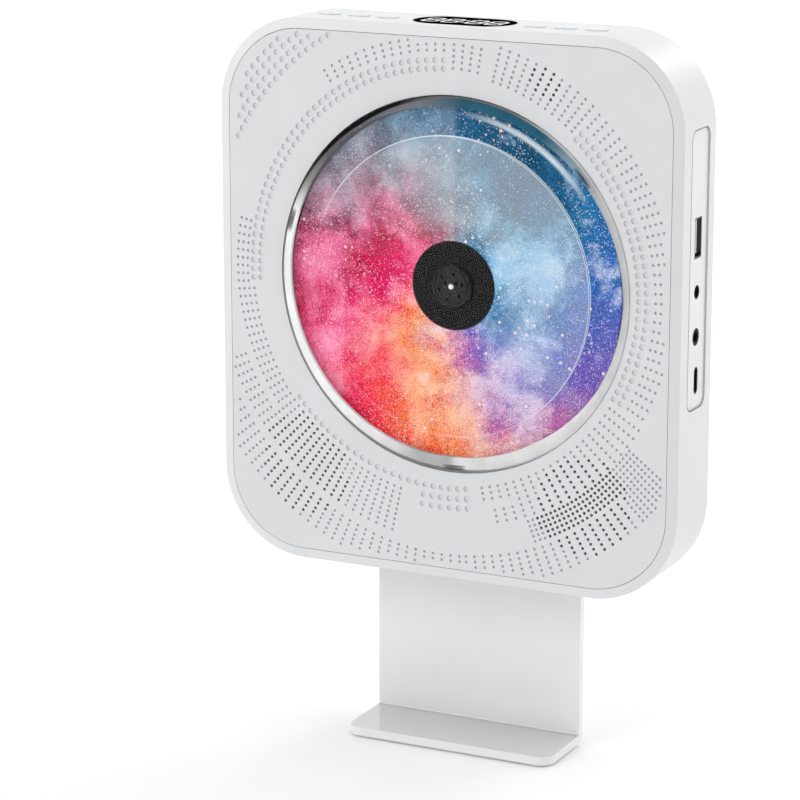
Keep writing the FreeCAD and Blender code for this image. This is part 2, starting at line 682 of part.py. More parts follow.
# ================================================================ disc well
WR, WW, WF, FT = S["well_rad"], S["well_wall"], S["well_floor"], S["floor_thick"]
b = new_body("disc_well", RX, 0, RZ)
revolve(b, [(0, WF), (WR, WF), (WR, panel_back), (WR + WW, panel_back), (WR + WW, S["flange_front"]),
            (S["well_flange"], S["flange_front"]), (S["well_flange"], S["flange_front"] + 1.2),
            (WR + WW, S["flange_front"] + 1.2), (WR + WW, WF + FT), (0, WF + FT)])
ears = [(TSP * math.cos(math.radians(a)), TSP * math.sin(math.radians(a))) for a in (38.0, 142.0, 218.0, 322.0)]
pad_y(b, S["flange_front"], S["flange_front"] + 1.2, *[lambda s, p=p: circle(s, p[0], p[1], 2.9) for p in ears])
DAMP = [(16.0, 16.0), (-16.0, 16.0), (16.0, -56.0), (-16.0, -56.0)]
pad_y(b, WF + FT, WF + FT + 0.6, *[lambda s, p=p: circle(s, p[0], p[1], 2.8) for p in DAMP])
pocket_y(b, WF + 0.5, WF + FT + 1.6, *[lambda s, p=p: circle(s, p[0], p[1], 1.1) for p in DAMP])
pocket_y(b, WF - 1, WF + FT + 1, lambda s: circle(s, 0, 0, 10.0))
pocket_y(b, WF - 1, WF + FT + 1, lambda s: rrect(s, 21.0, 49.6, 2.5, 0, -37.0))
pocket_y(b, S["flange_front"] - 1, S["flange_front"] + 3,
         *[lambda s, p=p: circle(s, p[0], p[1], 1.2) for p in ears])
screws("tray_screws", [(p[0], S["flange_front"] + 1.2, p[1]) for p in tray_pts], "-y", 2.0, 1.1, 0.95, 3.4)

# ================================================================ clear cover and its latches
CR, CT, CF = S["cover_rad"], S["cover_thick"], S["cover_front"]
b = new_body("clear_cover", RX, 0, RZ)
FL = S["cover_flat"]
revolve(b, [(0, -CF), (FL - 0.35, -CF), (FL, -CF + 0.3), (CR, -CF + 1.25), (CR, S["cover_foot"]), (CR - 1.2, S["cover_foot"]),
            (CR - 1.2, -CF + 2.7), (FL, -CF + CT + 0.3), (0, -CF + CT)])


def circle_edge(body, radius, y):
    """Round edges of a turned body at a radius and height in its own axes."""
    return edges_where(body, lambda e: abs(e.BoundBox.XMax - radius) < 1e-3 and abs(e.BoundBox.YMin - y) < 1e-3
                       and e.BoundBox.YLength < 1e-3)


names = circle_edge(b, N["cover_rad"], -N["cover_front"] + 1.25)
assert names
dress(b, "Fillet", names, 3.4)
names = circle_edge(b, N["cover_rad"] - 1.2, -N["cover_front"] + 2.7)
assert names
dress(b, "Fillet", names, 2.2)
latch = []
for i, a in enumerate((-88.0, 40.5, 163.0), start=1):
    lb = new_body("cover_latch%d" % i, RX, 0, RZ, final=False)
    # a curved tongue under the rim, with a nose that springs into the well
    revolve(lb, [(60.9, 0.3), (62.2, 0.3), (62.2, 2.6), (61.8, 3.1), (61.3, 3.1), (60.9, 2.6)])
    wedge = doc.addObject("Part::Box", "latch_wedge%d" % i)
    wedge.Length, wedge.Width, wedge.Height = 12.0, 8.0, 7.4
    c, sn = math.cos(math.radians(a)), math.sin(math.radians(a))
    rot = ROT(V(0, 1, 0), -a)
    off = rot.multVec(V(55.0, -2.0, -3.7))
    place(wedge, RX + off.x, off.y, RZ + off.z, rot)
    latch.append(doc.addObject("Part::Common", "latch%d" % i))
    latch[-1].Base = lb
    latch[-1].Tool = wedge
group("cover_latches", latch)

# ================================================================ disc, turntable, shaft, balls
DF, DT = S["disc_front"], S["disc_thick"]
b = new_body("disc", RX, 0, RZ)
pad_y(b, DF, DF + DT, lambda s: circle(s, 0, 0, S["disc_rad"]), lambda s: circle(s, 0, 0, S["disc_hole"]))
b = new_body("turntable", RX, 0, RZ, final=False)
PF = DF + DT
SR = S["shaft_rad"]
revolve(b, [(SR, -S["boss_front"]), (S["boss_rad"] - 0.5, -S["boss_front"]), (S["boss_rad"], -S["boss_front"] + 0.7),
            (S["boss_rad"], PF), (S["platter_rad"], PF), (S["platter_rad"], PF + S["platter_thick"]),
            (4.0, PF + S["platter_thick"]), (4.0, 6.4), (SR, 6.4)])
pocket_y(b, -S["boss_front"] - 1, -S["boss_front"] + 0.9,
         *[lambda s, a=a: circle(s, 4.4 * math.cos(math.radians(a)), 4.4 * math.sin(math.radians(a)), 0.7) for a in range(15, 375, 60)])
pocket_y(b, -S["boss_front"] - 1, -S["boss_front"] + 0.7,
         *[lambda s, a=a: circle(s, 2.35 * math.cos(math.radians(a)), 2.35 * math.sin(math.radians(a)), 0.6) for a in (30, 150, 270)])
pocket_y(b, -S["boss_front"] - 1, -S["boss_front"] + 0.35, lambda s: circle(s, 0, 0, 6.1), lambda s: circle(s, 0, 0, 5.75))
seats, balls = [], []
for i, a in enumerate((90.0, 210.0, 330.0), start=1):
    x = RX + S["ball_pitch"] * math.cos(math.radians(a))
    z = RZ + S["ball_pitch"] * math.sin(math.radians(a))
    for lst, nm, r in ((seats, "ball_seat%d" % i, S["ball_rad"] + 0.03), (balls, "ball%d" % i, S["ball_rad"])):
        o = doc.addObject("Part::Sphere", nm)
        o.Radius = r.v
        bind(o, "Radius", r)
        place(o, x, -0.45, z, ROT(V(0, 1, 0), 37.0 - a))
        lst.append(o)
keep("turntable", cut("turntable", b, fuse("ball_seats", seats)))
group("chuck_balls", balls)
b = new_body("spindle_shaft", RX, 0, RZ)
revolve(b, [(0, -1.95), (0.75, -1.95), (SR, -1.7), (SR, 13.8), (0, 13.8)])

# ================================================================ mechanism deck
DKF, DKT = S["deck_front"], S["deck_thick"]
DKB = DKF + DKT
RR, ROX, ROY = S["rod_rad"], S["rod_x"], S["rod_y"]
b = new_body("deck_chassis", RX, 0, RZ)
pad_y(b, DKF, DKB, lambda s: polygon(s, [(-24.0, 21.0), (24.0, 21.0), (27.0, 17.0), (27.0, -80.0), (-27.0, -80.0), (-27.0, -52.0),
                                         (-47.0, -48.0), (-47.0, -28.5), (-31.0, -25.0), (-27.0, -20.0), (-27.0, 17.0)]))
# blocks that hold the rods' ends
ends = [(-1, -4.5), (1, -4.5), (-1, -74.0), (1, -74.0)]
pad_y(b, DKB, ROY + 3.0, *[lambda s, e=e: rect(s, 6.0, 5.0, ROX * e[0], e[1]) for e in ends])
# the rods' bores, along Z
pocket_z(b, -80.5, -1.0, lambda s: circle(s, -ROX, ROY, RR), lambda s: circle(s, ROX, ROY, RR))
pocket_y(b, DKF - 1, DKB + 1, lambda s: circle(s, 0, 0, 3.7))
pocket_y(b, DKF - 1, DKB + 1, lambda s: rrect(s, 20.0, 50.3, 2.0, 0, -38.15))
pocket_y(b, DKF - 1, DKB + 1, *[lambda s, p=p: circle(s, p[0], p[1], 2.4) for p in DAMP])
mot = [(8.0, 0.0), (-8.0, 0.0)]
pocket_y(b, DKF - 1, DKB + 1, *[lambda s, p=p: circle(s, p[0], p[1], 1.05) for p in mot])
GP = S["rack_module"] * S["rack_teeth"] / 2                 # the small gear's pitch radius
GX, GZ = -S["rack_x"] - GP, -S["gear_z"]                    # the idler's axis, from the disc's axis
CD = S["train_module"] * (S["big_teeth"] + S["pinion_teeth"]) / 2
pa = math.radians(N["pinion_angle"])
KX, KZ = GX + CD * math.cos(pa), GZ + CD * math.sin(pa)     # the pinion's axis
pocket_y(b, DKF - 1, DKB + 1, lambda s: circle(s, GX, GZ, 1.0))
mot2 = [(KX, KZ + 4.0), (KX, KZ - 4.0)]
pocket_y(b, DKF - 1, DKB + 1, *[lambda s, p=p: circle(s, p[0], p[1], 0.9) for p in mot2])
pocket_y(b, DKF - 1, DKB + 1, lambda s: circle(s, KX, KZ, 2.1))

dampers = []
for i, (x, z) in enumerate(DAMP, start=1):
    d = new_body("deck_damper%d" % i, RX + x, 0, RZ + z, final=False)
    revolve(d, [(1.1, 6.2), (3.4, 6.2), (3.7, 6.6), (3.7, 7.4), (2.4, 7.4), (2.4, 8.6), (3.7, 8.6), (3.7, 9.1), (3.4, 9.4), (1.1, 9.4)])
    dampers.append(d)
group("deck_dampers", dampers)
screws("deck_screws", [(RX + x, 9.4, RZ + z) for x, z in DAMP], "-y", 2.6, 0.9, 1.05, 4.6)

b = new_body("spindle_motor", RX, 0, RZ)
MR, ML, RG = S["motor_rad"], S["motor_long"], S["run_gap"]
revolve(b, [(SR + RG, DKF - 0.3), (3.6, DKF - 0.3), (3.6, DKB), (MR - 0.6, DKB), (MR, DKB + 0.6), (MR, DKB + ML - 0.6),
            (MR - 0.6, DKB + ML), (SR + RG, DKB + ML)])
pocket_y(b, DKB - 1, DKB + 2.4, *[lambda s, p=p: circle(s, p[0], p[1], 0.8) for p in mot])

b = new_body("sled_motor", RX + KX, 0, RZ + KZ)
SMR = S["sled_motor_rad"]
revolve(b, [(0.75 + 0.05, DKF + 0.2), (2.0, DKF + 0.2), (2.0, DKB), (SMR, DKB), (SMR, 14.3), (2.0, 14.3), (2.0, 14.8), (0.8, 14.8)])
pocket_y(b, DKB - 1, DKB + 2.0, lambda s: circle(s, 0, 4.0, 0.65), lambda s: circle(s, 0, -4.0, 0.65))
b = new_body("sled_motor_shaft", RX + KX, 0, RZ + KZ)
pad_y(b, 8.0, 17.6, lambda s: circle(s, 0, 0, 0.75))
screws("motor_screws", [(RX + p[0], DKF, RZ + p[1]) for p in mot] + [(RX + p[0], DKF, RZ + p[1]) for p in mot2], "+y", 1.5, 0.6, 0.65, 3.0)
b = new_body("idler_pin", RX + GX, 0, RZ + GZ)
revolve(b, [(0, DKF), (1.0, DKF), (1.0, 17.8), (1.6, 17.8), (1.6, 18.4), (0, 18.4)])

rods = []
for i, sgn in enumerate((-1, 1), start=1):
    r_ = cylinder("guide_rod%d" % i, RR, S["rod_long"] + 0.5, RX + ROX * sgn, ROY, RZ - S["rod_top"] - S["rod_long"] - 0.5, "+z")
    rods.append(r_)
group("guide_rods", rods)


# ---------------------------------------------------------------- toothed pieces
def involute_gear(module, teeth, turn, thin=0.86, addendum=0.85, dedendum=1.15):
    """Closed outline of a spur gear; turn is the angle of a tooth's middle, thin narrows the teeth for backlash."""
    pressure = math.radians(20.0)
    rp = module * teeth / 2.0
    rb = rp * math.cos(pressure)
    ra, rf = rp + addendum * module, rp - dedendum * module
    half = math.pi / (2.0 * teeth) * thin
    inv_p = math.tan(pressure) - pressure

    def flank(r):
        if r <= rb:
            return half + inv_p
        al = math.acos(rb / r)
        return half + inv_p - (math.tan(al) - al)

    radii = [rf] + [max(rf, rb) + (ra - max(rf, rb)) * i / 4.0 for i in range(5)]
    if rb <= rf:
        radii = radii[1:]
    pts = []
    for k in range(int(teeth)):
        c = math.radians(turn) + 2 * math.pi * k / teeth
        side = [(r, flank(r)) for r in radii]
        for r, a in side:
            pts.append((r * math.cos(c - a), r * math.sin(c - a)))
        for r, a in reversed(side):
            pts.append((r * math.cos(c + a), r * math.sin(c + a)))
    return pts


def prism(pts, y0, y1, bore=0.0):
    vs = [V(x, y0, z) for x, z in pts]
    wire = Part.makePolygon(vs + [vs[0]])
    solid = Part.Face(wire).extrude(V(0, y1 - y0, 0))
    if bore:
        solid = solid.cut(Part.makeCylinder(bore, y1 - y0 + 2, V(0, y0 - 1, 0), V(0, 1, 0)))
    return solid


def ring(r, y0, y1, bore):
    return Part.makeCylinder(r, y1 - y0, V(0, y0, 0), V(0, 1, 0)).cut(
        Part.makeCylinder(bore, y1 - y0 + 2, V(0, y0 - 1, 0), V(0, 1, 0)))


# idler: the small gear meets the sled's rack, the large one meets the motor's pinion.
# A gap of the small gear faces the rack (+X), and a gap of the large one faces the pinion.
small = prism(involute_gear(N["rack_module"], N["rack_teeth"], 180.0 / N["rack_teeth"]), 11.4, 15.6)
large = prism(involute_gear(N["train_module"], N["big_teeth"], N["pinion_angle"] + 180.0 / N["big_teeth"], addendum=0.6), 15.6, 17.1)
hub = Part.makeCylinder(2.0, 2.6, V(0, 9.0, 0), V(0, 1, 0))
idler = small.fuse([large, hub]).removeSplitter()
idler = idler.cut(Part.makeCylinder(1.05, 12, V(0, 8, 0), V(0, 1, 0)))
o = doc.addObject("Part::Feature", "idler_gear")
o.Shape = idler
place(o, RX + GX, 0, RZ + GZ)
keep("idler_gear", o)
pinion = prism(involute_gear(N["train_module"], N["pinion_teeth"], N["pinion_angle"] + 180.0), 15.6, 17.3, 0.75)
o = doc.addObject("Part::Feature", "pinion_gear")
o.Shape = pinion
place(o, RX + KX, 0, RZ + KZ)
keep("pinion_gear", o)

# sled: a block on the two rods, a raised head under the disc and a rack down its left side
LS, SH = S["lens_start"], S["sled_half"]
b = new_body("pickup_sled", RX, 0, RZ - LS, final=False)
pad_y(b, 10.9, 15.2, lambda s: rrect(s, (ROX + 3.4) * 2, SH * 2, 2.0))
pad_y(b, 5.0, 10.9, lambda s: rrect(s, 16.0, 10.0, 1.5, 0, 2.9))
pocket_z(b, -20.0, 20.0, lambda s: circle(s, -ROX, ROY, RR + RG), lambda s: circle(s, ROX, ROY, RR + RG))
pocket_y(b, 4.0, 7.4, lambda s: rect(s, 9.0, 6.6, 0, 1.5))
mod = N["rack_module"]
pitch = math.pi * mod
rack_face = -N["rack_x"]
z_hi, z_lo = 17.0, -22.5
teeth_pts = []
n_up = int(math.floor((z_hi - (-N["gear_z"] + N["lens_start"])) / pitch)) - 1
n_dn = int(math.floor(((-N["gear_z"] + N["lens_start"]) - z_lo) / pitch)) - 1
zc = -N["gear_z"] + N["lens_start"]
add_, ded_ = 0.68 * mod, 1.1 * mod
halfw = pitch / 4.0 * 0.84
t20 = math.tan(math.radians(20.0))
outline = [(rack_face + ded_ + 1.6, z_lo), (rack_face + ded_, z_lo)]
for k in range(-n_dn, n_up + 1):
    c = zc + k * pitch
    outline += [(rack_face + ded_, c - halfw - ded_ * t20), (rack_face - add_, c - halfw + add_ * t20),
                (rack_face - add_, c + halfw - add_ * t20), (rack_face + ded_, c + halfw + ded_ * t20)]
outline += [(rack_face + ded_, z_hi), (rack_face + ded_ + 1.6, z_hi)]
rack = prism(outline, 11.6, 15.2)
arm = Part.makeBox(3.4, 3.6, 18.0, V(rack_face + ded_ + 0.4, 11.6, -9.0))
r_ = doc.addObject("Part::Feature", "sled_rack")
r_.Shape = rack.fuse(arm).removeSplitter()
place(r_, RX, 0, RZ - LS)
keep("pickup_sled", fuse("pickup_sled", [b, r_]))
b = new_body("lens_holder", RX, 0, RZ - LS)
pad_y(b, 3.7, 5.2, lambda s: rrect(s, 7.4, 5.0, 1.2, 0, 1.5), lambda s: circle(s, 0, 1.5, 1.75))
pad_y(b, 5.2, 6.4, lambda s: rrect(s, 7.4, 5.0, 1.2, 0, 1.5), lambda s: circle(s, 0, 1.5, 1.2))
b = new_body("objective_lens", RX, 0, RZ - LS + 1.5)
revolve(b, [(0, 3.1), (0.7, 3.2), (1.3, 3.5), (1.7, 3.9), (1.7, 4.9), (0, 4.9)])

# ================================================================ speakers
frames, mags, surrounds = [], [], []
for side, sgn in (("left", -1), ("right", 1)):
    cx, cz = SX * sgn, -SZ
    f_ = new_body("speaker_frame_" + side, cx, 0, cz, final=False)
    revolve(f_, [(SPR, panel_back), (SPR, 2.3), (SPR - 1.9, 2.3), (SPR - 1.9, 3.4), (11.6, 9.6), (11.6, 10.2), (6.0, 10.2), (6.0, 9.4),
                 (10.8, 9.4), (SPR - 2.7, 3.2), (SPR - 2.7, 1.9), (SPR - 1.7, 1.9), (SPR - 1.7, panel_back)])
    frames.append(f_)
    m_ = new_body("speaker_magnet_" + side, cx, 0, cz, final=False)
    revolve(m_, [(0, 9.0), (4.6, 9.0), (4.6, 14.0), (5.9, 14.0), (5.9, 10.2), (11.6, 10.2), (11.6, 17.2), (0, 17.2)])
    mags.append(m_)
    s_ = new_body("speaker_surround_" + side, cx, 0, cz, final=False)
    revolve(s_, [(SPR - 3.6, 1.55), (SPR - 3.3, 1.15), (SPR - 2.8, 0.98), (SPR - 2.3, 1.15), (SPR - 2.0, 1.55), (SPR - 1.7, 1.55),
                 (SPR - 1.7, 1.9), (SPR - 2.2, 1.9), (SPR - 2.6, 1.45), (SPR - 3.0, 1.45), (SPR - 3.4, 1.9), (SPR - 3.6, 1.9)])
    surrounds.append(s_)
    c_ = new_body("speaker_cone_" + side, cx, 0, cz)
    revolve(c_, [(0, 5.4), (3.0, 5.9), (4.9, 7.0), (SPR - 3.9, 2.2), (SPR - 3.9, 2.7), (5.5, 7.9), (5.5, 12.0), (5.1, 12.0), (5.1, 7.9),
                 (3.0, 6.4), (0, 5.9)])
group("speaker_frames", frames)
group("speaker_magnets", mags)
group("speaker_surrounds", surrounds)

# ================================================================ display, buttons and their board
b = new_body("display_window")
zt = BH / 2
pad_z(b, zt - WALL, zt - 0.05, lambda s: slot(s, S["window_long"] - 0.2, S["window_wide"] - 0.2, S["window_x"], S["top_y"]))
pad_z(b, zt - WALL - 1.2, zt - WALL, lambda s: slot(s, S["window_long"] + 2.4, S["window_wide"] + 1.6, S["window_x"], S["top_y"]))
b = new_body("display_module")
pad_z(b, zt - 8.0, zt - WALL - 1.2, lambda s: rrect(s, 30.0, 12.0, 0.8, S["window_x"], S["top_y"]))
b = new_body("button_board")
pad_z(b, zt - 9.6, zt - 8.0, lambda s: rrect(s, 118.0, 15.0, 1.5, 0.3, 14.2))
pocket_z(b, zt - 10.6, zt - 7.0, *[lambda s, p=p: circle(s, p[0], p[1], 1.4) for p in BBS])
caps = []
switches = []
for i, x in enumerate(BTN, start=1):
    b = new_body("button_%d" % i)
    pad_z(b, zt - WALL - 1.2, zt + S["button_proud"], lambda s, x=x: slot(s, S["button_long"], S["button_wide"], x, S["button_y"]))
    pad_z(b, zt - WALL - 1.0, zt - WALL - 0.05, lambda s, x=x: slot(s, S["button_long"] + 2.0, S["button_wide"] + 1.8, x, S["button_y"]))
    sw = new_body("tact_switch%d" % i, final=False)
    pad_z(sw, zt - 8.0, zt - 4.6, lambda s, x=x: rrect(s, 6.0, 6.0, 0.5, x, S["button_y"]))
    pad_z(sw, zt - 4.6, zt - 3.9, lambda s, x=x: circle(s, x, S["button_y"], 1.7))
    switches.append(sw)
group("tact_switches", switches)
b = new_body("ir_receiver")
pad_y(b, 2.4, 6.4, lambda s: rrect(s, 6.0, 6.6, 0.6, 36.0, 77.4))
pad_z(b, 80.0, zt - 9.6, *[lambda s, x=x: rect(s, 0.6, 0.4, x, 6.9) for x in (34.0, 36.0, 38.0)])
pad_y(b, 6.2, 7.1, *[lambda s, x=x: rect(s, 0.6, 1.4, x, 80.0) for x in (34.0, 36.0, 38.0)])

# ================================================================ ports
PY, PZC = S["port_y"], S["port_z"]
b = new_body("port_plate")
xs = BW / 2
pad_x(b, xs - WALL, xs - S["port_inset"], lambda s: rrect(s, S["port_wide"] - 0.3, S["port_long"] - 0.3, S["port_corner"] - 0.15, PY, PZC))
pad_x(b, xs - WALL - 1.0, xs - WALL, lambda s: rrect(s, S["port_wide"] + 3.0, S["port_long"] + 1.6, S["port_corner"] + 1.0, PY, PZC - 0.5))
pocket_x(b, xs - WALL - 2.0, xs, lambda s: rect(s, S["usb_high"] + 0.4, S["usb_long"] + 0.4, PY + 0.3, S["usb_z"]))
pocket_x(b, xs - WALL - 2.0, xs, lambda s: circle(s, PY, S["jack_a_z"], 2.35), lambda s: circle(s, PY, S["jack_b_z"], 2.95))
pocket_x(b, xs - WALL - 2.0, xs, lambda s: slot_up(s, S["usb_c_long"] + 0.3, S["usb_c_high"] + 0.3, S["usb_c_y"], S["usb_c_z"]))
xin = xs - S["port_inset"]
b = new_body("usb_a_shell")
pad_x(b, xin - 14.0, xin - 0.05, lambda s: rrect(s, S["usb_high"], S["usb_long"], 0.6, PY + 0.3, S["usb_z"]))
pocket_x(b, xin - 13.6, xin + 1, lambda s: rrect(s, S["usb_high"] - 0.7, S["usb_long"] - 0.7, 0.3, PY + 0.3, S["usb_z"]))
b = new_body("usb_a_tongue")
pad_x(b, xin - 13.6, xin - 1.4, lambda s: rect(s, 1.9, 11.0, PY + 1.6, S["usb_z"]))
for nm, zj, collar in (("headphone_jack", S["jack_a_z"], 2.3), ("aux_jack", S["jack_b_z"], 2.9)):
    b = new_body(nm)
    pad_x(b, xin - 13.5, xs - WALL - 1.0, lambda s: rrect(s, 6.8, 7.6, 0.5, PY, zj))
    pad_x(b, xs - WALL - 1.0, xin - 0.05, lambda s: circle(s, PY, zj, collar))
    pocket_x(b, xin - 12.5, xin + 1, lambda s: circle(s, PY, zj, S["jack_bore"]))
b = new_body("usb_c_shell")
pad_x(b, xin - 8.0, xin - 0.05, lambda s: slot_up(s, S["usb_c_long"], S["usb_c_high"], S["usb_c_y"], S["usb_c_z"]))
pocket_x(b, xin - 7.4, xin + 1, lambda s: slot_up(s, S["usb_c_long"] - 0.6, S["usb_c_high"] - 0.6, S["usb_c_y"], S["usb_c_z"]))
pad_y(b, S["usb_c_y"] + S["usb_c_high"] / 2 - 0.15, 17.8, lambda s: rect(s, 4.0, 3.0, xin - 6.0, S["usb_c_z"]))
b = new_body("usb_c_tongue")
pad_x(b, xin - 7.4, xin - 1.2, lambda s: rect(s, 0.7, 6.7, S["usb_c_y"], S["usb_c_z"]))

# ================================================================ boards and battery
RC0 = BD - S["rear_thick"]
b = new_body("main_board")
pad_y(b, 17.8, 19.4, lambda s: rrect(s, 30.0, 106.0, 2.0, 63.0, 8.0))
brd = [(50.5, 56.5), (75.0, 56.5), (50.5, -40.5), (75.0, -40.5)]
pocket_y(b, 16.8, 20.4, *[lambda s, p=p: circle(s, p[0], p[1], 1.5) for p in brd])
chips = [(57.0, 20.0, 10.0, 10.0, 1.2), (57.0, -8.0, 8.0, 12.0, 1.2), (58.0, 42.0, 7.0, 5.0, 1.6), (56.0, -28.0, 6.0, 6.0, 3.2)]
for c in chips:
    pad_y(b, 17.8 - c[4], 17.8, lambda s, c=c: rect(s, c[2], c[3], c[0], c[1]))
screws("board_screws", [(p[0], 17.8, p[1]) for p in brd], "+y", 2.3, 0.9, 1.2, 5.0)
screws("button_board_screws", [(p[0], p[1], zt - 9.6) for p in BBS], "+z", 2.3, 0.9, 1.2, 5.0)
b = new_body("battery_pack")
pad_y(b, 13.6, RC0, lambda s: rrect(s, 24.0, 62.0, 3.0, -66.0, 22.0))

# ================================================================ rear cover
b = new_body("rear_cover")
pad_y(b, RC0, BD, lambda s: rrect(s, BW - WALL * 2 - 0.3, BH - WALL * 2 - 0.3, BR - WALL - 0.15))
pad_y(b, 19.4, RC0, *[lambda s, p=p: circle(s, p[0], p[1], 2.8) for p in brd])
SSX = S["stand_screw_x"]
STS = [(SSX, S["stand_screw_hi"]), (-SSX, S["stand_screw_hi"]), (SSX, S["stand_screw_lo"]), (-SSX, S["stand_screw_lo"])]
pad_y(b, 19.6, RC0, *[lambda s, p=p: circle(s, p[0], p[1], 4.6) for p in STS])
pocket_y(b, 18.0, 24.5, *[lambda s, p=p: circle(s, p[0], p[1], 1.25) for p in brd])
pocket_y(b, 20.2, BD + 1, *[lambda s, p=p: circle(s, p[0], p[1], 2.75) for p in STS])
pocket_y(b, RC0 - 1, BD + 1, *[lambda s, p=p: circle(s, p[0], p[1], 1.5) for p in corners])
pocket_y(b, BD - 1.4, BD + 1, *[lambda s, p=p: circle(s, p[0], p[1], 2.9) for p in corners])
# a rib round the outline on the inside
pad_y(b, RC0 - 1.6, RC0, lambda s: rrect(s, BW - WALL * 2 - 0.8, BH - WALL * 2 - 0.8, BR - WALL - 0.4),
      lambda s: rrect(s, BW - WALL * 2 - 3.6, BH - WALL * 2 - 3.6, BR - WALL - 1.8))
pocket_y(b, RC0 - 2.6, RC0, *[lambda s, p=p: circle(s, p[0], p[1], 4.4) for p in corners])
pocket_y(b, RC0 - 2.6, RC0, lambda s: rect(s, 42.0, 6.0, 0, BH / 2 - 5.2))
screws("housing_screws", [(p[0], BD - 1.4, p[1]) for p in corners], "-y", 2.6, 1.1, 1.2, 12.0)
inserts = []
for i, (x, z) in enumerate(STS, start=1):
    n_ = new_body("stand_insert%d" % i, x, 0, z, final=False)
    revolve(n_, [(S["stand_screw_rad"], 20.4), (2.75, 20.4), (2.75, 22.6), (2.45, 22.8), (2.45, 24.4), (2.75, 24.6),
                 (2.75, BD - 0.05), (S["stand_screw_rad"], BD - 0.05)])
    inserts.append(n_)
group("stand_inserts", inserts)

# ================================================================ stand
ST, SF, SC, BI = S["stand_thick"], S["stand_foot"], S["stand_corner"], S["bend_in"]
b = new_body("stand")
# L section in the YZ plane, with a tight inner bend and a rounder outer one
s = new_sketch(b, "YZ_Plane", -S["stand_wide"] / 2)
y0, y1, y2 = S["base_front"], BD, BD + ST
z0, z1, z2 = SF, SF + ST, S["stand_top"]
RO = BI + ST
pts = [(y0.v, z0.v), ((y2 - RO).v, z0.v), (y2.v, (z0 + RO).v), (y2.v, z2.v), (y1.v, z2.v), (y1.v, (z1 + BI).v), ((y1 - BI).v, z1.v), (y0.v, z1.v)]
g = {}
g["bottom"] = s.addGeometry(Part.LineSegment(V(pts[0][0], pts[0][1], 0), V(pts[1][0], pts[1][1], 0)))
g["outer"] = arc(s, pts[1][0], pts[2][1], RO.v, 270, 360)
g["back"] = s.addGeometry(Part.LineSegment(V(pts[2][0], pts[2][1], 0), V(pts[3][0], pts[3][1], 0)))
g["top"] = s.addGeometry(Part.LineSegment(V(pts[3][0], pts[3][1], 0), V(pts[4][0], pts[4][1], 0)))
g["face"] = s.addGeometry(Part.LineSegment(V(pts[4][0], pts[4][1], 0), V(pts[5][0], pts[5][1], 0)))
g["inner"] = arc(s, pts[6][0], pts[5][1], BI.v, 270, 360)
g["deck"] = s.addGeometry(Part.LineSegment(V(pts[6][0], pts[6][1], 0), V(pts[7][0], pts[7][1], 0)))
g["lip"] = s.addGeometry(Part.LineSegment(V(pts[7][0], pts[7][1], 0), V(pts[0][0], pts[0][1], 0)))
add(s, "Tangent", (g["bottom"], 2, g["outer"], 1))
add(s, "Tangent", (g["outer"], 2, g["back"], 1))
add(s, "Coincident", (g["back"], 2, g["top"], 1))
add(s, "Coincident", (g["top"], 2, g["face"], 1))
add(s, "Tangent", (g["face"], 2, g["inner"], 2))
add(s, "Tangent", (g["inner"], 1, g["deck"], 1))
add(s, "Coincident", (g["deck"], 2, g["lip"], 1))
add(s, "Coincident", (g["lip"], 2, g["bottom"], 1))
for k in ("bottom", "deck", "top"):
    add(s, "Horizontal", (g[k],))
for k in ("back", "face", "lip"):
    add(s, "Vertical", (g[k],))
pin_point(s, g["bottom"], 1, y0, z0)
pin_point(s, g["back"], 2, y2, z2)
add(s, "DistanceX", (-1, 1, g["face"], 1), y1)
add(s, "DistanceY", (-1, 1, g["deck"], 2), z1)
add(s, "Radius", (g["outer"],), RO)
add(s, "Radius", (g["inner"],), BI)
_feature(b, "Pad", s, S["stand_wide"], False)
vert = edges_where(b, lambda e: e.BoundBox.XLength < 1e-4 and e.BoundBox.YLength < 1e-4 and abs(e.BoundBox.ZLength - N["stand_thick"]) < 1e-3
                   and abs(e.BoundBox.YMin - N["base_front"]) < 1e-3)
dress(b, "Fillet", vert, SC)
topc = edges_where(b, lambda e: e.BoundBox.XLength < 1e-4 and e.BoundBox.ZLength < 1e-4 and abs(e.BoundBox.YLength - N["stand_thick"]) < 1e-3
                   and abs(e.BoundBox.ZMin - N["stand_top"]) < 1e-3)
dress(b, "Fillet", topc, SC)
pocket_y(b, BD - 1, BD + ST + 1, *[lambda s, p=p: circle(s, p[0], p[1], S["stand_screw_rad"] + 0.2) for p in STS])
b = new_body("stand_pad")
pad_z(b, SF - S["pad_thick"], SF, lambda s: rrect(s, S["stand_wide"] - 5.0, 22.5, 8.5, 0, 15.6))
screws("stand_screws", [(p[0], BD + ST, p[1]) for p in STS], "-y", 3.6, 1.4, S["stand_screw_rad"].v, 9.5)

# ================================================================ checks and export
doc.recompute()
bad = []
for o in doc.Objects:
    if "Invalid" in o.State or "Error" in o.State:
        bad.append("%s (%s): %s" % (o.Name, o.Label, o.State))
for label, o in PARTS:
    if o.Shape.isNull() or not o.Shape.isValid() or not o.Shape.Solids:
        bad.append("bad shape: " + label)
if bad:
    raise RuntimeError("; ".join(bad))
labels = [l for l, o in PARTS]
assert len(labels) == len(set(labels)) and len(labels) <= 60, len(labels)
box_all = None
for label, o in PARTS:
    sh = o.Shape
    sh.exportStep("parts/%s.step" % label)
    bb = sh.BoundBox
    print("%-20s solids %2d  x %7.2f %7.2f  y %7.2f %7.2f  z %7.2f %7.2f  vol %9.1f" % (
        label, len(sh.Solids), bb.XMin, bb.XMax, bb.YMin, bb.YMax, bb.ZMin, bb.ZMax, sh.Volume))
    box_all = FreeCAD.BoundBox(bb) if box_all is None else box_all.united(bb)
print("all", box_all)
print("grille holes:", len(DIMPLES), len(DOTS), len(THROUGH))
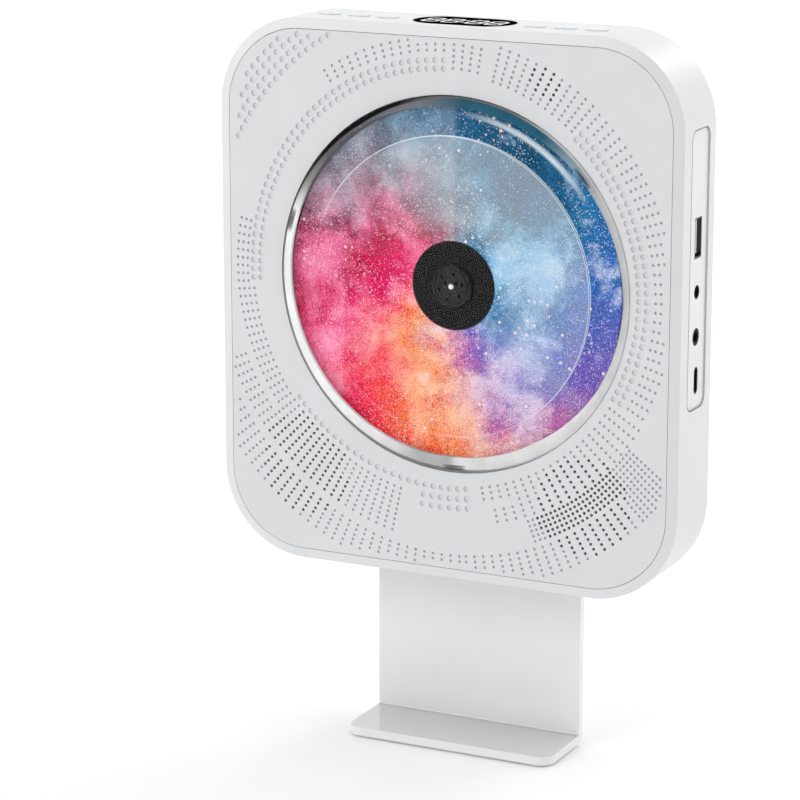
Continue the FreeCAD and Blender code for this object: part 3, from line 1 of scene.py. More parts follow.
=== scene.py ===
import math
import bpy
import bmesh
from mathutils import Vector, Matrix


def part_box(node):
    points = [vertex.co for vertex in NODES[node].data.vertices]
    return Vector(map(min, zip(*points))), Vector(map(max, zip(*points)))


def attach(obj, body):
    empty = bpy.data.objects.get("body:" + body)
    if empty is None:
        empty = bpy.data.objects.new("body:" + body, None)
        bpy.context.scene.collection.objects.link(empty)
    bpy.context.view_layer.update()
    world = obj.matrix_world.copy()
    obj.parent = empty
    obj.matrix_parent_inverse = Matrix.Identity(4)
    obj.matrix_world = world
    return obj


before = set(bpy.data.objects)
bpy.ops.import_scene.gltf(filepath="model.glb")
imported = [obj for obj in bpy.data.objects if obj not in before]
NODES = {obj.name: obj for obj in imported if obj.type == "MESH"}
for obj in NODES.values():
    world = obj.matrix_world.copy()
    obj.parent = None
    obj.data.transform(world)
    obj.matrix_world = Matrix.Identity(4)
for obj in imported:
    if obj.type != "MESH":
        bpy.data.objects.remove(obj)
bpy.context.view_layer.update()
scene = bpy.context.scene
MM = 0.001
# middle of the disc, the hub and the round opening
CX, CZ = 3.0 * MM, 164.6 * MM


# ------------------------------------------------------------------ node helpers
class Mat:
    """A node material with one Principled shader and short ways to add procedural detail."""

    def __init__(self, name, base, rough=0.5, metal=0.0, ior=1.46, spec=0.5, coat=0.0, coat_rough=0.05):
        self.m = bpy.data.materials.new(name)
        self.m.use_nodes = True
        self.nt = self.m.node_tree
        self.n = self.nt.nodes
        self.l = self.nt.links
        self.p = self.n["Principled BSDF"]
        self.out = self.n["Material Output"]
        self.p.inputs["Base Color"].default_value = (*base, 1.0)
        self.p.inputs["Roughness"].default_value = rough
        self.p.inputs["Metallic"].default_value = metal
        self.p.inputs["IOR"].default_value = ior
        self.p.inputs["Specular IOR Level"].default_value = spec
        self.p.inputs["Coat Weight"].default_value = coat
        self.p.inputs["Coat Roughness"].default_value = coat_rough
        self.base = base
        self._co = None

    def node(self, kind, **kw):
        nd = self.n.new(kind)
        for k, v in kw.items():
            setattr(nd, k, v)
        return nd

    def co(self):
        if self._co is None:
            self._co = self.node("ShaderNodeTexCoord").outputs["Object"]
        return self._co

    def link(self, a, b):
        self.l.new(a, b)

    def put(self, value, socket):
        if hasattr(value, "is_linked") or hasattr(value, "links"):
            self.l.new(value, socket)
        else:
            socket.default_value = value

    def math(self, op, a, b=None, c=None, clamp=False):
        nd = self.node("ShaderNodeMath", operation=op, use_clamp=clamp)
        self.put(a, nd.inputs[0])
        if b is not None:
            self.put(b, nd.inputs[1])
        if c is not None:
            self.put(c, nd.inputs[2])
        return nd.outputs[0]

    def mapped(self, scale=(1, 1, 1), loc=(0, 0, 0), rot=(0, 0, 0), co=None):
        nd = self.node("ShaderNodeMapping")
        nd.inputs["Scale"].default_value = scale
        nd.inputs["Location"].default_value = loc
        nd.inputs["Rotation"].default_value = rot
        self.l.new(co if co is not None else self.co(), nd.inputs["Vector"])
        return nd.outputs[0]

    def noise(self, scale, detail=3.0, rough=0.55, co=None, distortion=0.0, color=False):
        nd = self.node("ShaderNodeTexNoise")
        nd.inputs["Scale"].default_value = scale
        nd.inputs["Detail"].default_value = detail
        nd.inputs["Roughness"].default_value = rough
        nd.inputs["Distortion"].default_value = distortion
        self.l.new(co if co is not None else self.co(), nd.inputs["Vector"])
        return nd.outputs["Color" if color else "Fac"]

    def ramp(self, fac, stops, mode="LINEAR"):
        nd = self.node("ShaderNodeValToRGB")
        nd.color_ramp.interpolation = mode
        el = nd.color_ramp.elements
        while len(el) < len(stops):
            el.new(0.5)
        for e, (pos, col) in zip(el, stops):
            e.position = pos
            e.color = (*col, 1.0) if len(col) == 3 else col
        self.put(fac, nd.inputs[0])
        return nd.outputs[0]

    def grey(self, fac, stops):
        return self.ramp(fac, [(p, (v, v, v)) for p, v in stops])

    def mix(self, fac, a, b, mode="MIX"):
        nd = self.node("ShaderNodeMix", data_type="RGBA", blend_type=mode)
        self.put(fac, nd.inputs[0])
        for s, v in ((6, a), (7, b)):
            if isinstance(v, tuple):
                nd.inputs[s].default_value = (*v, 1.0) if len(v) == 3 else v
            else:
                self.l.new(v, nd.inputs[s])
        return nd.outputs[2]

    def colour(self, socket):
        self.l.new(socket, self.p.inputs["Base Color"])

    def vary(self, scale, amount, detail=3.0):
        """Base colour a little lighter and darker by a noise."""
        lo = tuple(max(0.0, c * (1 - amount)) for c in self.base)
        hi = tuple(min(1.0, c * (1 + amount)) for c in self.base)
        self.colour(self.ramp(self.noise(scale, detail), [(0.3, lo), (0.7, hi)]))

    def rough(self, scale, lo, hi, detail=3.0):
        nd = self.node("ShaderNodeMapRange")
        nd.inputs["From Min"].default_value = 0.3
        nd.inputs["From Max"].default_value = 0.7
        nd.inputs["To Min"].default_value = lo
        nd.inputs["To Max"].default_value = hi
        self.l.new(self.noise(scale, detail), nd.inputs["Value"])
        self.l.new(nd.outputs[0], self.p.inputs["Roughness"])

    def bump(self, height, strength=0.1, distance=0.00002):
        nd = self.node("ShaderNodeBump")
        nd.inputs["Strength"].default_value = strength
        nd.inputs["Distance"].default_value = distance
        self.l.new(height, nd.inputs["Height"])
        self.l.new(nd.outputs[0], self.p.inputs["Normal"])
        return nd


def plastic(name, base, rough, grain=2600.0, depth=0.00001, strength=0.25, vary=0.02, coat=0.0, spec=0.5):
    m = Mat(name, base, rough, spec=spec, coat=coat)
    m.vary(45.0, vary)
    m.rough(260.0, max(0.02, rough - 0.05), min(1.0, rough + 0.06))
    m.bump(m.noise(grain, 2.0), strength, depth)
    return m.m


def metal(name, base, rough, stretch=(1, 1, 40), scale=900.0, strength=0.2, vary=0.08):
    m = Mat(name, base, rough, metal=1.0)
    brushed = m.noise(scale, 4.0, co=m.mapped(scale=stretch))
    lo = tuple(c * (1 - vary) for c in base)
    hi = tuple(min(1.0, c * (1 + vary)) for c in base)
    m.colour(m.ramp(brushed, [(0.3, lo), (0.7, hi)]))
    m.rough(400.0, max(0.02, rough - 0.07), rough + 0.08)
    m.bump(brushed, strength, 0.00001)
    return m.m


MATS = {}
# white mouldings: the front is a fine satin, the housing a little glossier
MATS["housing"] = plastic("housing_white", (0.722, 0.728, 0.738), 0.34, grain=1800.0, strength=0.12)
MATS["front"] = plastic("panel_white", (0.685, 0.695, 0.710), 0.46, grain=3200.0, strength=0.3)
MATS["well"] = plastic("well_white", (0.70, 0.71, 0.725), 0.38)
MATS["port"] = plastic("port_white", (0.775, 0.78, 0.79), 0.36)
MATS["button"] = plastic("button_white", (0.75, 0.755, 0.765), 0.32)


def stand_white():
    """Glossy white lacquer with painted shade: a little greyer on the base and up in the body's shade."""
    m = Mat("stand_white", (0.74, 0.745, 0.755), 0.12, coat=1.0, coat_rough=0.04)
    m.p.inputs["Coat IOR"].default_value = 1.7
    sep = m.node("ShaderNodeSeparateXYZ")
    m.link(m.co(), sep.inputs[0])
    z = m.math("MULTIPLY", sep.outputs[2], 1000.0 / 150.0)
    # painted shade: the stand greys by height up towards the body's underside
    shade_by_height = m.ramp(z, [(0.0, (0.80, 0.805, 0.815)), (0.22, (0.80, 0.805, 0.815)), (0.36, (0.755, 0.760, 0.775)), (0.50, (0.66, 0.665, 0.68)), (0.56, (0.60, 0.605, 0.62)), (0.70, (0.72, 0.725, 0.735)), (1.0, (0.72, 0.725, 0.735))])
    geo = m.node("ShaderNodeNewGeometry")
    nrm = m.node("ShaderNodeSeparateXYZ")
    m.link(geo.outputs["Normal"], nrm.inputs[0])
    # painted shade on the base's top below the body: a darker grey on up-facing faces
    top = m.math("MULTIPLY", m.grey(nrm.outputs[2], [(0.55, 0.0), (0.85, 1.0)]), m.math("LESS_THAN", sep.outputs[2], 0.006))
    col = m.mix(top, shade_by_height, (0.545, 0.550, 0.560))
    col = m.mix(1.0, col, m.ramp(m.noise(45.0), [(0.3, (0.985,) * 3), (0.7, (1.01,) * 3)]), "MULTIPLY")
    m.colour(col)
    m.rough(260.0, 0.08, 0.16)
    m.bump(m.noise(900.0, 2.0), 0.03, 0.00001)
    return m.m


MATS["stand"] = stand_white()
MATS["black"] = plastic("black_plastic", (0.020, 0.020, 0.022), 0.36, vary=0.2)
MATS["jack"] = plastic("jack_black", (0.010, 0.010, 0.011), 0.6, vary=0.2, spec=0.15)
MATS["latch"] = plastic("latch_black", (0.05, 0.05, 0.055), 0.3, vary=0.2)
MATS["display_white"] = plastic("display_white", (0.9, 0.92, 0.95), 0.4)
MATS["rubber"] = plastic("rubber_black", (0.03, 0.03, 0.03), 0.75, grain=1500.0, strength=0.5, vary=0.2)
MATS["acetal"] = plastic("acetal", (0.80, 0.79, 0.74), 0.4)
MATS["sled"] = plastic("sled_grey", (0.06, 0.06, 0.065), 0.5, vary=0.15)
MATS["cone"] = plastic("cone_paper", (0.045, 0.045, 0.05), 0.8, grain=1200.0, strength=0.8, vary=0.25)
MATS["frame_black"] = plastic("speaker_frame_black", (0.03, 0.03, 0.032), 0.5, vary=0.2)
MATS["magnet"] = plastic("magnet_ferrite", (0.07, 0.07, 0.075), 0.6, grain=1500.0, strength=0.5, vary=0.2)
MATS["battery"] = plastic("battery_wrap", (0.03, 0.10, 0.30), 0.3, vary=0.1)
MATS["tongue_white"] = plastic("tongue_white", (0.85, 0.85, 0.85), 0.4)
MATS["tongue_black"] = plastic("tongue_black", (0.02, 0.02, 0.022), 0.4)
MATS["steel"] = metal("plated_steel", (0.60, 0.61, 0.62), 0.32)
MATS["bright"] = metal("bright_steel", (0.78, 0.78, 0.80), 0.14, strength=0.08, vary=0.03)
MATS["screw"] = metal("screw_steel", (0.52, 0.52, 0.54), 0.30)
MATS["port_shell"] = metal("port_shell_steel", (0.085, 0.085, 0.09), 0.34)
MATS["ball"] = metal("chuck_ball_steel", (0.05, 0.05, 0.052), 0.3)
MATS["brass"] = metal("brass", (0.70, 0.52, 0.22), 0.30)


def board(name):
    m = Mat(name, (0.02, 0.16, 0.07), 0.3, coat=0.3)
    tracks = m.node("ShaderNodeTexBrick")
    tracks.inputs["Scale"].default_value = 240.0
    tracks.inputs["Mortar Size"].default_value = 0.02
    tracks.inputs["Color1"].default_value = (0.015, 0.15, 0.06, 1)
    tracks.inputs["Color2"].default_value = (0.02, 0.19, 0.085, 1)
    tracks.inputs["Mortar"].default_value = (0.05, 0.30, 0.14, 1)
    m.link(m.mapped(rot=(math.radians(90), 0, 0)), tracks.inputs["Vector"])
    m.colour(tracks.outputs["Color"])
    m.rough(300.0, 0.25, 0.4)
    m.bump(tracks.outputs["Fac"], 0.3, 0.00003)
    return m.m


MATS["board"] = board("board_green")


def hub_black():
    """Black turntable: fine turned rings round the hub's middle."""
    m = Mat("turntable_black", (0.010, 0.010, 0.011), 0.30, spec=0.25)
    sep = m.node("ShaderNodeSeparateXYZ")
    m.link(m.mapped(loc=(-CX, 0, -CZ)), sep.inputs[0])
    r = m.math("SQRT", m.math("ADD", m.math("POWER", sep.outputs[0], 2.0), m.math("POWER", sep.outputs[2], 2.0)))
    rings = m.math("SINE", m.math("MULTIPLY", r, 2 * math.pi / 0.0011))
    grain = m.noise(1600.0, 3.0)
    m.colour(m.ramp(m.noise(120.0), [(0.3, (0.008, 0.008, 0.009)), (0.7, (0.013, 0.013, 0.014))]))
    m.rough(500.0, 0.26, 0.40)
    m.bump(m.math("ADD", m.math("MULTIPLY", rings, 0.12), grain), 0.25, 0.000015)
    return m.m


MATS["hub"] = hub_black()


def polar(m, co):
    """Radius and angle (as a fraction of a turn, from the right, anticlockwise from the front) of a vector."""
    sep = m.node("ShaderNodeSeparateXYZ")
    m.link(co, sep.inputs[0])
    x, z = sep.outputs[0], sep.outputs[2]
    r = m.math("SQRT", m.math("ADD", m.math("POWER", x, 2.0), m.math("POWER", z, 2.0)))
    t = m.math("FRACT", m.math("ADD", m.math("DIVIDE", m.math("ARCTAN2", z, x), 2 * math.pi), 1.0))
    return x, z, r, t


def disc_print():
    """Printed disc: a plain pinwheel of coloured clouds with fine glitter, black at the hub zone."""
    m = Mat("disc_print", (0.5, 0.2, 0.3), 0.24, spec=0.10)
    unit = 1.0 / 0.060
    scaled = m.mapped(scale=(unit, unit, unit), co=m.mapped(loc=(-CX, 0, -CZ)))
    x, z, r_true, t_true = polar(m, scaled)
    # soft clouds push the arms about
    warp = m.noise(1.9, 6.0, 0.6, co=scaled, color=True)
    ws = m.node("ShaderNodeSeparateColor")
    m.link(warp, ws.inputs[0])
    u = m.math("ADD", x, m.math("MULTIPLY", m.math("SUBTRACT", ws.outputs[0], 0.5), 0.95))
    v = m.math("ADD", z, m.math("MULTIPLY", m.math("SUBTRACT", ws.outputs[1], 0.5), 0.95))
    comb = m.node("ShaderNodeCombineXYZ")
    m.link(u, comb.inputs[0])
    m.link(v, comb.inputs[2])
    _, _, r, ang = polar(m, comb.outputs[0])
    turn = m.math("FRACT", m.math("ADD", m.math("ADD", ang, m.math("MULTIPLY", r, -0.17)), 1.06))
    deep = m.ramp(turn, [
        (0.00, (0.010, 0.150, 0.330)),
        (0.09, (0.004, 0.070, 0.150)),
        (0.17, (0.008, 0.120, 0.250)),
        (0.23, (0.040, 0.110, 0.180)),
        (0.28, (0.150, 0.125, 0.170)),
        (0.34, (0.230, 0.020, 0.080)),
        (0.39, (0.400, 0.002, 0.050)),
        (0.48, (0.680, 0.008, 0.110)),
        (0.57, (0.880, 0.040, 0.070)),
        (0.65, (0.900, 0.190, 0.050)),
        (0.73, (0.500, 0.120, 0.320)),
        (0.81, (0.160, 0.100, 0.440)),
        (0.90, (0.030, 0.130, 0.440)),
        (1.00, (0.010, 0.150, 0.330)),
    ])
    pale = m.ramp(turn, [
        (0.00, (0.300, 0.600, 0.860)),
        (0.12, (0.090, 0.400, 0.640)),
        (0.21, (0.260, 0.440, 0.600)),
        (0.29, (0.480, 0.420, 0.500)),
        (0.37, (0.900, 0.180, 0.380)),
        (0.50, (1.000, 0.250, 0.440)),
        (0.59, (1.000, 0.360, 0.290)),
        (0.68, (1.000, 0.560, 0.300)),
        (0.76, (0.860, 0.620, 0.700)),
        (0.85, (0.640, 0.600, 0.880)),
        (0.93, (0.600, 0.740, 0.930)),
        (1.00, (0.300, 0.600, 0.860)),
    ])
    # billows: two sizes of cloud, fewer towards the rim on the cool side
    big = m.noise(2.7, 9.0, 0.60, co=scaled, distortion=0.35)
    small = m.noise(8.5, 6.0, 0.6, co=m.mapped(loc=(1.3, 2.1, 0.7), co=scaled), distortion=0.5)
    cool = m.ramp(t_true, [(0.0, (0.9,) * 3), (0.2, (0.9,) * 3), (0.30, (0.15,) * 3), (0.80, (0.0,) * 3), (0.95, (0.7,) * 3), (1.0, (0.9,) * 3)])
    edge = m.math("MULTIPLY", m.grey(r_true, [(0.55, 0.0), (0.85, 0.16)]), cool)
    amount = m.math("SUBTRACT", m.math("ADD", m.math("MULTIPLY", big, 0.78), m.math("MULTIPLY", small, 0.26)), edge)
    col = m.mix(m.grey(amount, [(0.44, 0.0), (0.56, 0.72), (0.70, 1.0)]), deep, pale)
    # brightest puffs
    puff = m.grey(m.math("ADD", m.math("MULTIPLY", big, 0.6), m.math("MULTIPLY", small, 0.4)), [(0.55, 0.0), (0.68, 0.75)])
    near = m.grey(r_true, [(0.30, 1.0), (0.80, 0.25)])
    col = m.mix(m.math("MULTIPLY", puff, near), col, (0.93, 0.88, 0.93))
    # powder grain: coarse and fine glitter
    fine = m.noise(150.0, 1.0, 0.6, co=scaled)
    dust = m.ramp(fine, [(0.36, (0.45, 0.45, 0.48)), (0.50, (1.0, 1.0, 1.0)), (0.66, (1.9, 1.9, 1.9))])
    col = m.mix(m.math("MULTIPLY", m.grey(amount, [(0.44, 0.95), (0.60, 0.16)]), 1.0), col, m.mix(1.0, col, dust, "MULTIPLY"))

    def glitter(scale, size, keep, field_scale, loc, lo, hi, tint, strength, base):
        vor = m.node("ShaderNodeTexVoronoi", feature="F1")
        vor.inputs["Scale"].default_value = scale
        m.link(scaled, vor.inputs["Vector"])
        pick = m.node("ShaderNodeSeparateColor")
        m.link(vor.outputs["Color"], pick.inputs[0])
        spot = m.grey(m.math("DIVIDE", vor.outputs["Distance"], m.math("ADD", pick.outputs[1], 0.35)), [(size, 1.0), (size * 1.5, 0.0)])
        where = m.grey(m.noise(field_scale, 3.0, 0.5, co=m.mapped(loc=loc, co=scaled)), [(lo, 0.0), (hi, 1.0)])
        f = m.math("MULTIPLY", m.math("MULTIPLY", spot, where), m.grey(pick.outputs[0], [(keep, 0.0), (keep + 0.02, strength)]))
        return m.mix(f, base, tint)

    col = glitter(52.0, 0.20, 0.35, 2.3, (3.1, 1.7, 0.4), 0.44, 0.56, (1.0, 0.66, 0.74), 0.95, col)
    col = glitter(24.0, 0.17, 0.55, 1.9, (0.6, 4.2, 2.4), 0.50, 0.60, (1.0, 0.78, 0.80), 0.95, col)
    col = glitter(90.0, 0.20, 0.55, 2.6, (5.5, 0.2, 1.1), 0.40, 0.55, (0.95, 0.95, 1.0), 0.7, col)
    # painted sheen: lighter sectors painted into the print, as a disc's reflection shows them
    painted_sheen = m.ramp(t_true, [(0.0, (0.0,) * 3), (0.245, (0.0,) * 3), (0.252, (0.20,) * 3), (0.33, (0.10,) * 3), (0.395, (0.05,) * 3), (0.40, (0.0,) * 3),
                            (0.86, (0.0,) * 3), (0.90, (0.16,) * 3), (0.905, (0.0,) * 3), (1.0, (0.0,) * 3)])
    col = m.mix(painted_sheen, col, (0.62, 0.62, 0.66))
    # the clear hub zone shows the black turntable behind it
    col = m.mix(m.grey(r_true, [(0.2495, 1.0), (0.2535, 0.0)]), col, (0.008, 0.008, 0.009))
    m.colour(col)
    m.rough(700.0, 0.20, 0.30)
    m.bump(fine, 0.05, 0.00001)
    return m.m


MATS["disc"] = disc_print()


def clear_cover():
    """Clear moulding with painted light: a painted highlight line where its flat face meets the sloping edge, a
    painted reflection haze and streak, and painted reflections and shade in bands round the rim.
    """
    m = Mat("clear_acrylic", (1.0, 1.0, 1.0), 0.012, ior=1.13, spec=0.5)
    m.p.inputs["Transmission Weight"].default_value = 1.0
    x, z, r, t = polar(m, m.mapped(loc=(-CX, 0, -CZ)))
    mm = m.math("MULTIPLY", r, 1000.0)
    m.rough(300.0, 0.006, 0.018)
    m.bump(m.noise(30.0, 2.0), 0.02, 0.00005)

    def round_values(stops):
        return m.ramp(t, [(p, (v,) * 3 if not isinstance(v, tuple) else v) for p, v in stops])

    def step(start, width, value=None):
        """0 before the radius start, in millimetres, and 1 after start plus width."""
        d = m.math("SUBTRACT", value if value is not None else mm, start)
        return m.math("DIVIDE", d, width, clamp=True)

    # painted highlight: a thin pale line at 50.62 mm from the middle, fainter or stronger round the edge
    highlight_line = m.grey(m.math("ABSOLUTE", m.math("SUBTRACT", mm, 50.62)), [(0.07, 1.0), (0.18, 0.0)])
    faint = round_values([(0.0, 0.75), (0.24, 0.85), (0.36, 0.55), (0.45, 0.14), (0.72, 0.12), (0.82, 0.35), (1.0, 0.75)])
    # painted reflection: a pale haze over the flat face, strongest at the upper right
    painted_haze = m.math("MULTIPLY", m.math("MULTIPLY", step(17.8, 6.0), m.math("SUBTRACT", 1.0, step(50.55, 0.1))),
                  round_values([(0.0, 0.12), (0.12, 0.17), (0.25, 0.15), (0.36, 0.03), (0.46, 0.0), (0.80, 0.0), (0.92, 0.08), (1.0, 0.12)]))
    # painted highlight: one soft streak on the slope at the upper right
    painted_streak = m.math("MULTIPLY", m.grey(m.math("DIVIDE", m.math("ABSOLUTE", m.math("SUBTRACT", mm, 58.3)), 2.0), [(0.1, 1.0), (0.6, 0.0)]),
                    round_values([(0.0, 0.0), (0.09, 0.0), (0.14, 0.62), (0.19, 0.45), (0.24, 0.0), (1.0, 0.0)]))
    # the painted highlights and reflection show as a pale diffuse mixed over the clear shader
    pale = m.math("MAXIMUM", m.math("MAXIMUM", m.math("MULTIPLY", highlight_line, faint), painted_haze), painted_streak)
    white = m.node("ShaderNodeBsdfDiffuse")
    white.inputs["Color"].default_value = (0.80, 0.92, 0.97, 1)
    with_painted_light = m.node("ShaderNodeMixShader")
    m.link(pale, with_painted_light.inputs[0])
    m.link(m.p.outputs[0], with_painted_light.inputs[1])
    m.link(white.outputs[0], with_painted_light.inputs[2])
    # rim: painted reflections and shade in bands round the edge: where the bands start, how light they are and how
    # much they hide
    in_start = round_values([(0.0, 0.70), (0.10, 0.62), (0.20, 0.44), (0.36, 0.48), (0.46, 0.32), (0.54, 0.22), (0.66, 0.12), (0.75, 0.06), (0.84, 0.20), (0.92, 0.55), (1.0, 0.70)])
    out_start = round_values([(0.0, 0.90), (0.24, 0.90), (0.30, 0.78), (0.34, 0.68), (0.38, 0.74), (0.43, 0.82), (0.52, 0.72), (0.62, 0.70), (0.74, 0.70), (0.80, 0.84), (0.88, 0.90), (1.0, 0.90)])
    in_r = m.math("ADD", m.math("MULTIPLY", in_start, 7.0), 57.0)
    out_r = m.math("ADD", m.math("MULTIPLY", out_start, 7.0), 56.5)
    is_rim = step(in_r, 0.3)
    is_out = step(out_r, 0.35)
    painted_tone_in = round_values([(0.00, 0.92), (0.08, 0.85), (0.13, (0.30, 0.42, 0.50)), (0.16, (0.02, 0.13, 0.21)), (0.24, (0.03, 0.12, 0.18)), (0.28, (0.20, 0.21, 0.24)),
                            (0.38, (0.14, 0.13, 0.15)), (0.415, 0.35), (0.445, 0.97), (0.62, 0.95), (0.68, 0.80), (0.72, 0.50), (0.752, 0.46), (0.758, 0.74), (0.84, 0.80), (1.0, 0.92)])
    put_in = round_values([(0.00, 0.65), (0.10, 0.60), (0.16, 0.80), (0.26, 0.80), (0.38, 0.55), (0.44, 0.80), (0.50, 0.92), (0.75, 0.92), (0.86, 0.90), (0.93, 0.75), (1.0, 0.65)])
    painted_tone_out = round_values([(0.00, 0.85), (0.15, 0.80), (0.19, 0.26), (0.27, 0.14), (0.30, 0.010), (0.385, 0.006), (0.41, 0.05), (0.46, 0.20), (0.54, 0.26),
                             (0.62, 0.30), (0.70, 0.24), (0.76, 0.22), (0.80, 0.45), (0.86, 0.85), (1.0, 0.85)])
    tone = m.mix(is_out, painted_tone_in, painted_tone_out)
    tone = m.mix(1.0, tone, m.ramp(m.noise(140.0, 3.0, 0.6), [(0.3, (0.88,) * 3), (0.7, (1.05,) * 3)]), "MULTIPLY")
    much = m.math("MULTIPLY", m.mix(is_out, put_in, (0.90, 0.90, 0.90)), m.math("MAXIMUM", is_rim, is_out))
    # the three latches show through
    for a in (-88.0, 40.5, 163.0):
        near = m.grey(m.math("ABSOLUTE", m.math("SUBTRACT", t, (a / 360.0) % 1.0)), [(0.0075, 1.0), (0.0090, 0.0)])
        band = m.math("MULTIPLY", step(60.3, 0.2), m.math("SUBTRACT", 1.0, step(62.3, 0.2)))
        much = m.math("MULTIPLY", much, m.math("SUBTRACT", 1.0, m.math("MULTIPLY", m.math("MULTIPLY", near, band), 0.85)))
    # the rim's painted reflections and shade show as a plain diffuse
    edge = m.node("ShaderNodeBsdfDiffuse")
    m.link(tone, edge.inputs["Color"])
    rim = m.node("ShaderNodeMixShader")
    m.link(much, rim.inputs[0])
    m.link(with_painted_light.outputs[0], rim.inputs[1])
    m.link(edge.outputs[0], rim.inputs[2])
    lp = m.node("ShaderNodeLightPath")
    clear = m.node("ShaderNodeBsdfTransparent")
    both = m.node("ShaderNodeMixShader")
    m.link(lp.outputs["Is Shadow Ray"], both.inputs[0])
    m.link(rim.outputs[0], both.inputs[1])
    m.link(clear.outputs[0], both.inputs[2])
    m.link(both.outputs[0], m.out.inputs["Surface"])
    return m.m


MATS["clear"] = clear_cover()


def lens_glass():
    m = Mat("lens_glass", (0.35, 0.45, 0.75), 0.03, ior=1.5, coat=1.0)
    m.vary(600.0, 0.1)
    m.rough(500.0, 0.02, 0.05)
    return m.m


MATS["lens"] = lens_glass()


def window_gloss():
    m = Mat("window_black", (0.003, 0.003, 0.004), 0.12, ior=1.2, spec=0.0)
    m.vary(200.0, 0.2)
    m.rough(350.0, 0.08, 0.14)
    m.bump(m.noise(900.0, 2.0), 0.05, 0.00001)
    return m.m


MATS["window"] = window_gloss()

WHICH = {
    "housing": ["housing_shell", "rear_cover"],
    "front": ["front_panel", "panel_frame"],
    "well": ["disc_well"],
    "port": ["port_plate"],
    "button": ["button_%d" % i for i in range(1, 7)],
    "stand": ["stand"],
    "jack": ["headphone_jack", "aux_jack"],
    "black": ["lens_holder", "tact_switches", "ir_receiver", "chuck_seat"],
    "hub": ["turntable"],
    "latch": ["cover_latches"],
    "display_white": ["display_module"],
    "rubber": ["deck_dampers", "stand_pad", "speaker_surrounds"],
    "acetal": ["idler_gear", "pinion_gear"],
    "sled": ["pickup_sled"],
    "cone": ["speaker_cone_left", "speaker_cone_right"],
    "frame_black": ["speaker_frames"],
    "magnet": ["speaker_magnets"],
    "battery": ["battery_pack"],
    "tongue_white": ["usb_a_tongue"],
    "tongue_black": ["usb_c_tongue"],
    "steel": ["deck_chassis", "spindle_motor", "sled_motor"],
    "bright": ["spindle_shaft", "sled_motor_shaft", "guide_rods", "idler_pin"],
    "ball": ["chuck_balls"],
    "port_shell": ["usb_a_shell", "usb_c_shell"],
    "screw": ["tray_screws", "deck_screws", "motor_screws", "board_screws", "button_board_screws", "housing_screws", "stand_screws"],
    "brass": ["stand_inserts"],
    "board": ["main_board", "button_board"],
    "disc": ["disc"],
    "clear": ["clear_cover"],
    "lens": ["objective_lens"],
    "window": ["display_window"],
}
for key, names in WHICH.items():
    for name in names:
        if name in NODES:
            o = NODES[name]
            o.data.materials.clear()
            o.data.materials.append(MATS[key])


# ------------------------------------------------------------------ display digits and button marks
def plate(name, loops, z0, thick, mat, body):
    """Flat raised figures on the top, each a closed outline in x and y, in metres."""
    bm = bmesh.new()
    for pts in loops:
        vs = [bm.verts.new((x, y, z0)) for x, y in pts]
        f = bm.faces.new(vs)
        if f.normal.z < 0:
            f.normal_flip()
        ext = bmesh.ops.extrude_face_region(bm, geom=[f])
        top = [g for g in ext["geom"] if isinstance(g, bmesh.types.BMVert)]
        bmesh.ops.translate(bm, verts=top, vec=(0, 0, thick))
    bmesh.ops.recalc_face_normals(bm, faces=bm.faces)
    me = bpy.data.meshes.new(name)
    bm.to_mesh(me)
    bm.free()
    ob = bpy.data.objects.new(name, me)
    scene.collection.objects.link(ob)
    me.materials.append(mat)
    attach(ob, body)
    return ob


def segment(x0, y0, x1, y1, w, slant):
    """One bar of a seven-segment figure with pointed ends."""
    dx, dy = x1 - x0, y1 - y0
    length = math.hypot(dx, dy)
    ux, uy = dx / length, dy / length
    nx, ny = -uy, ux
    h = w / 2
    pts = [(x0, y0), (x0 + ux * h + nx * h, y0 + uy * h + ny * h), (x1 - ux * h + nx * h, y1 - uy * h + ny * h), (x1, y1),
           (x1 - ux * h - nx * h, y1 - uy * h - ny * h), (x0 + ux * h - nx * h, y0 + uy * h - ny * h)]
    return [(x + slant * y, y) for x, y in pts]


win_lo, win_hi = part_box("display_window")
WX, WY, WZ = (win_lo.x + win_hi.x) / 2, (win_lo.y + win_hi.y) / 2, win_hi.z
loops = []
FIG_W, FIG_H, BAR = 4.9 * MM, 8.0 * MM, 1.0 * MM
for cx in (-11.4, -4.3, 4.3, 11.4):
    ox, oy = cx * MM, 0.0
    gap = 0.12 * MM
    hw, hh = FIG_W / 2, FIG_H / 2
    bars = [(-hw, hh, hw, hh), (-hw, 0, hw, 0), (-hw, -hh, hw, -hh),
            (-hw, 0, -hw, hh), (hw, 0, hw, hh), (-hw, -hh, -hw, 0), (hw, -hh, hw, 0)]
    for x0, y0, x1, y1 in bars:
        length = math.hypot(x1 - x0, y1 - y0)
        ex, ey = (x1 - x0) / length * gap, (y1 - y0) / length * gap
        seg = segment(x0 + ex, y0 + ey, x1 - ex, y1 - ey, BAR, 0.10)
        loops.append([(WX + ox + x, WY + oy + y) for x, y in seg])
for sy in (-2.1, 2.1):
    r = 0.65 * MM
    loops.append([(WX + 0.10 * sy * MM + r * math.cos(a * math.pi / 6), WY + sy * MM + r * math.sin(a * math.pi / 6)) for a in range(12)])
plate("display_digits", loops, WZ - 0.01 * MM, 0.05 * MM, MATS["display_white"], "player")


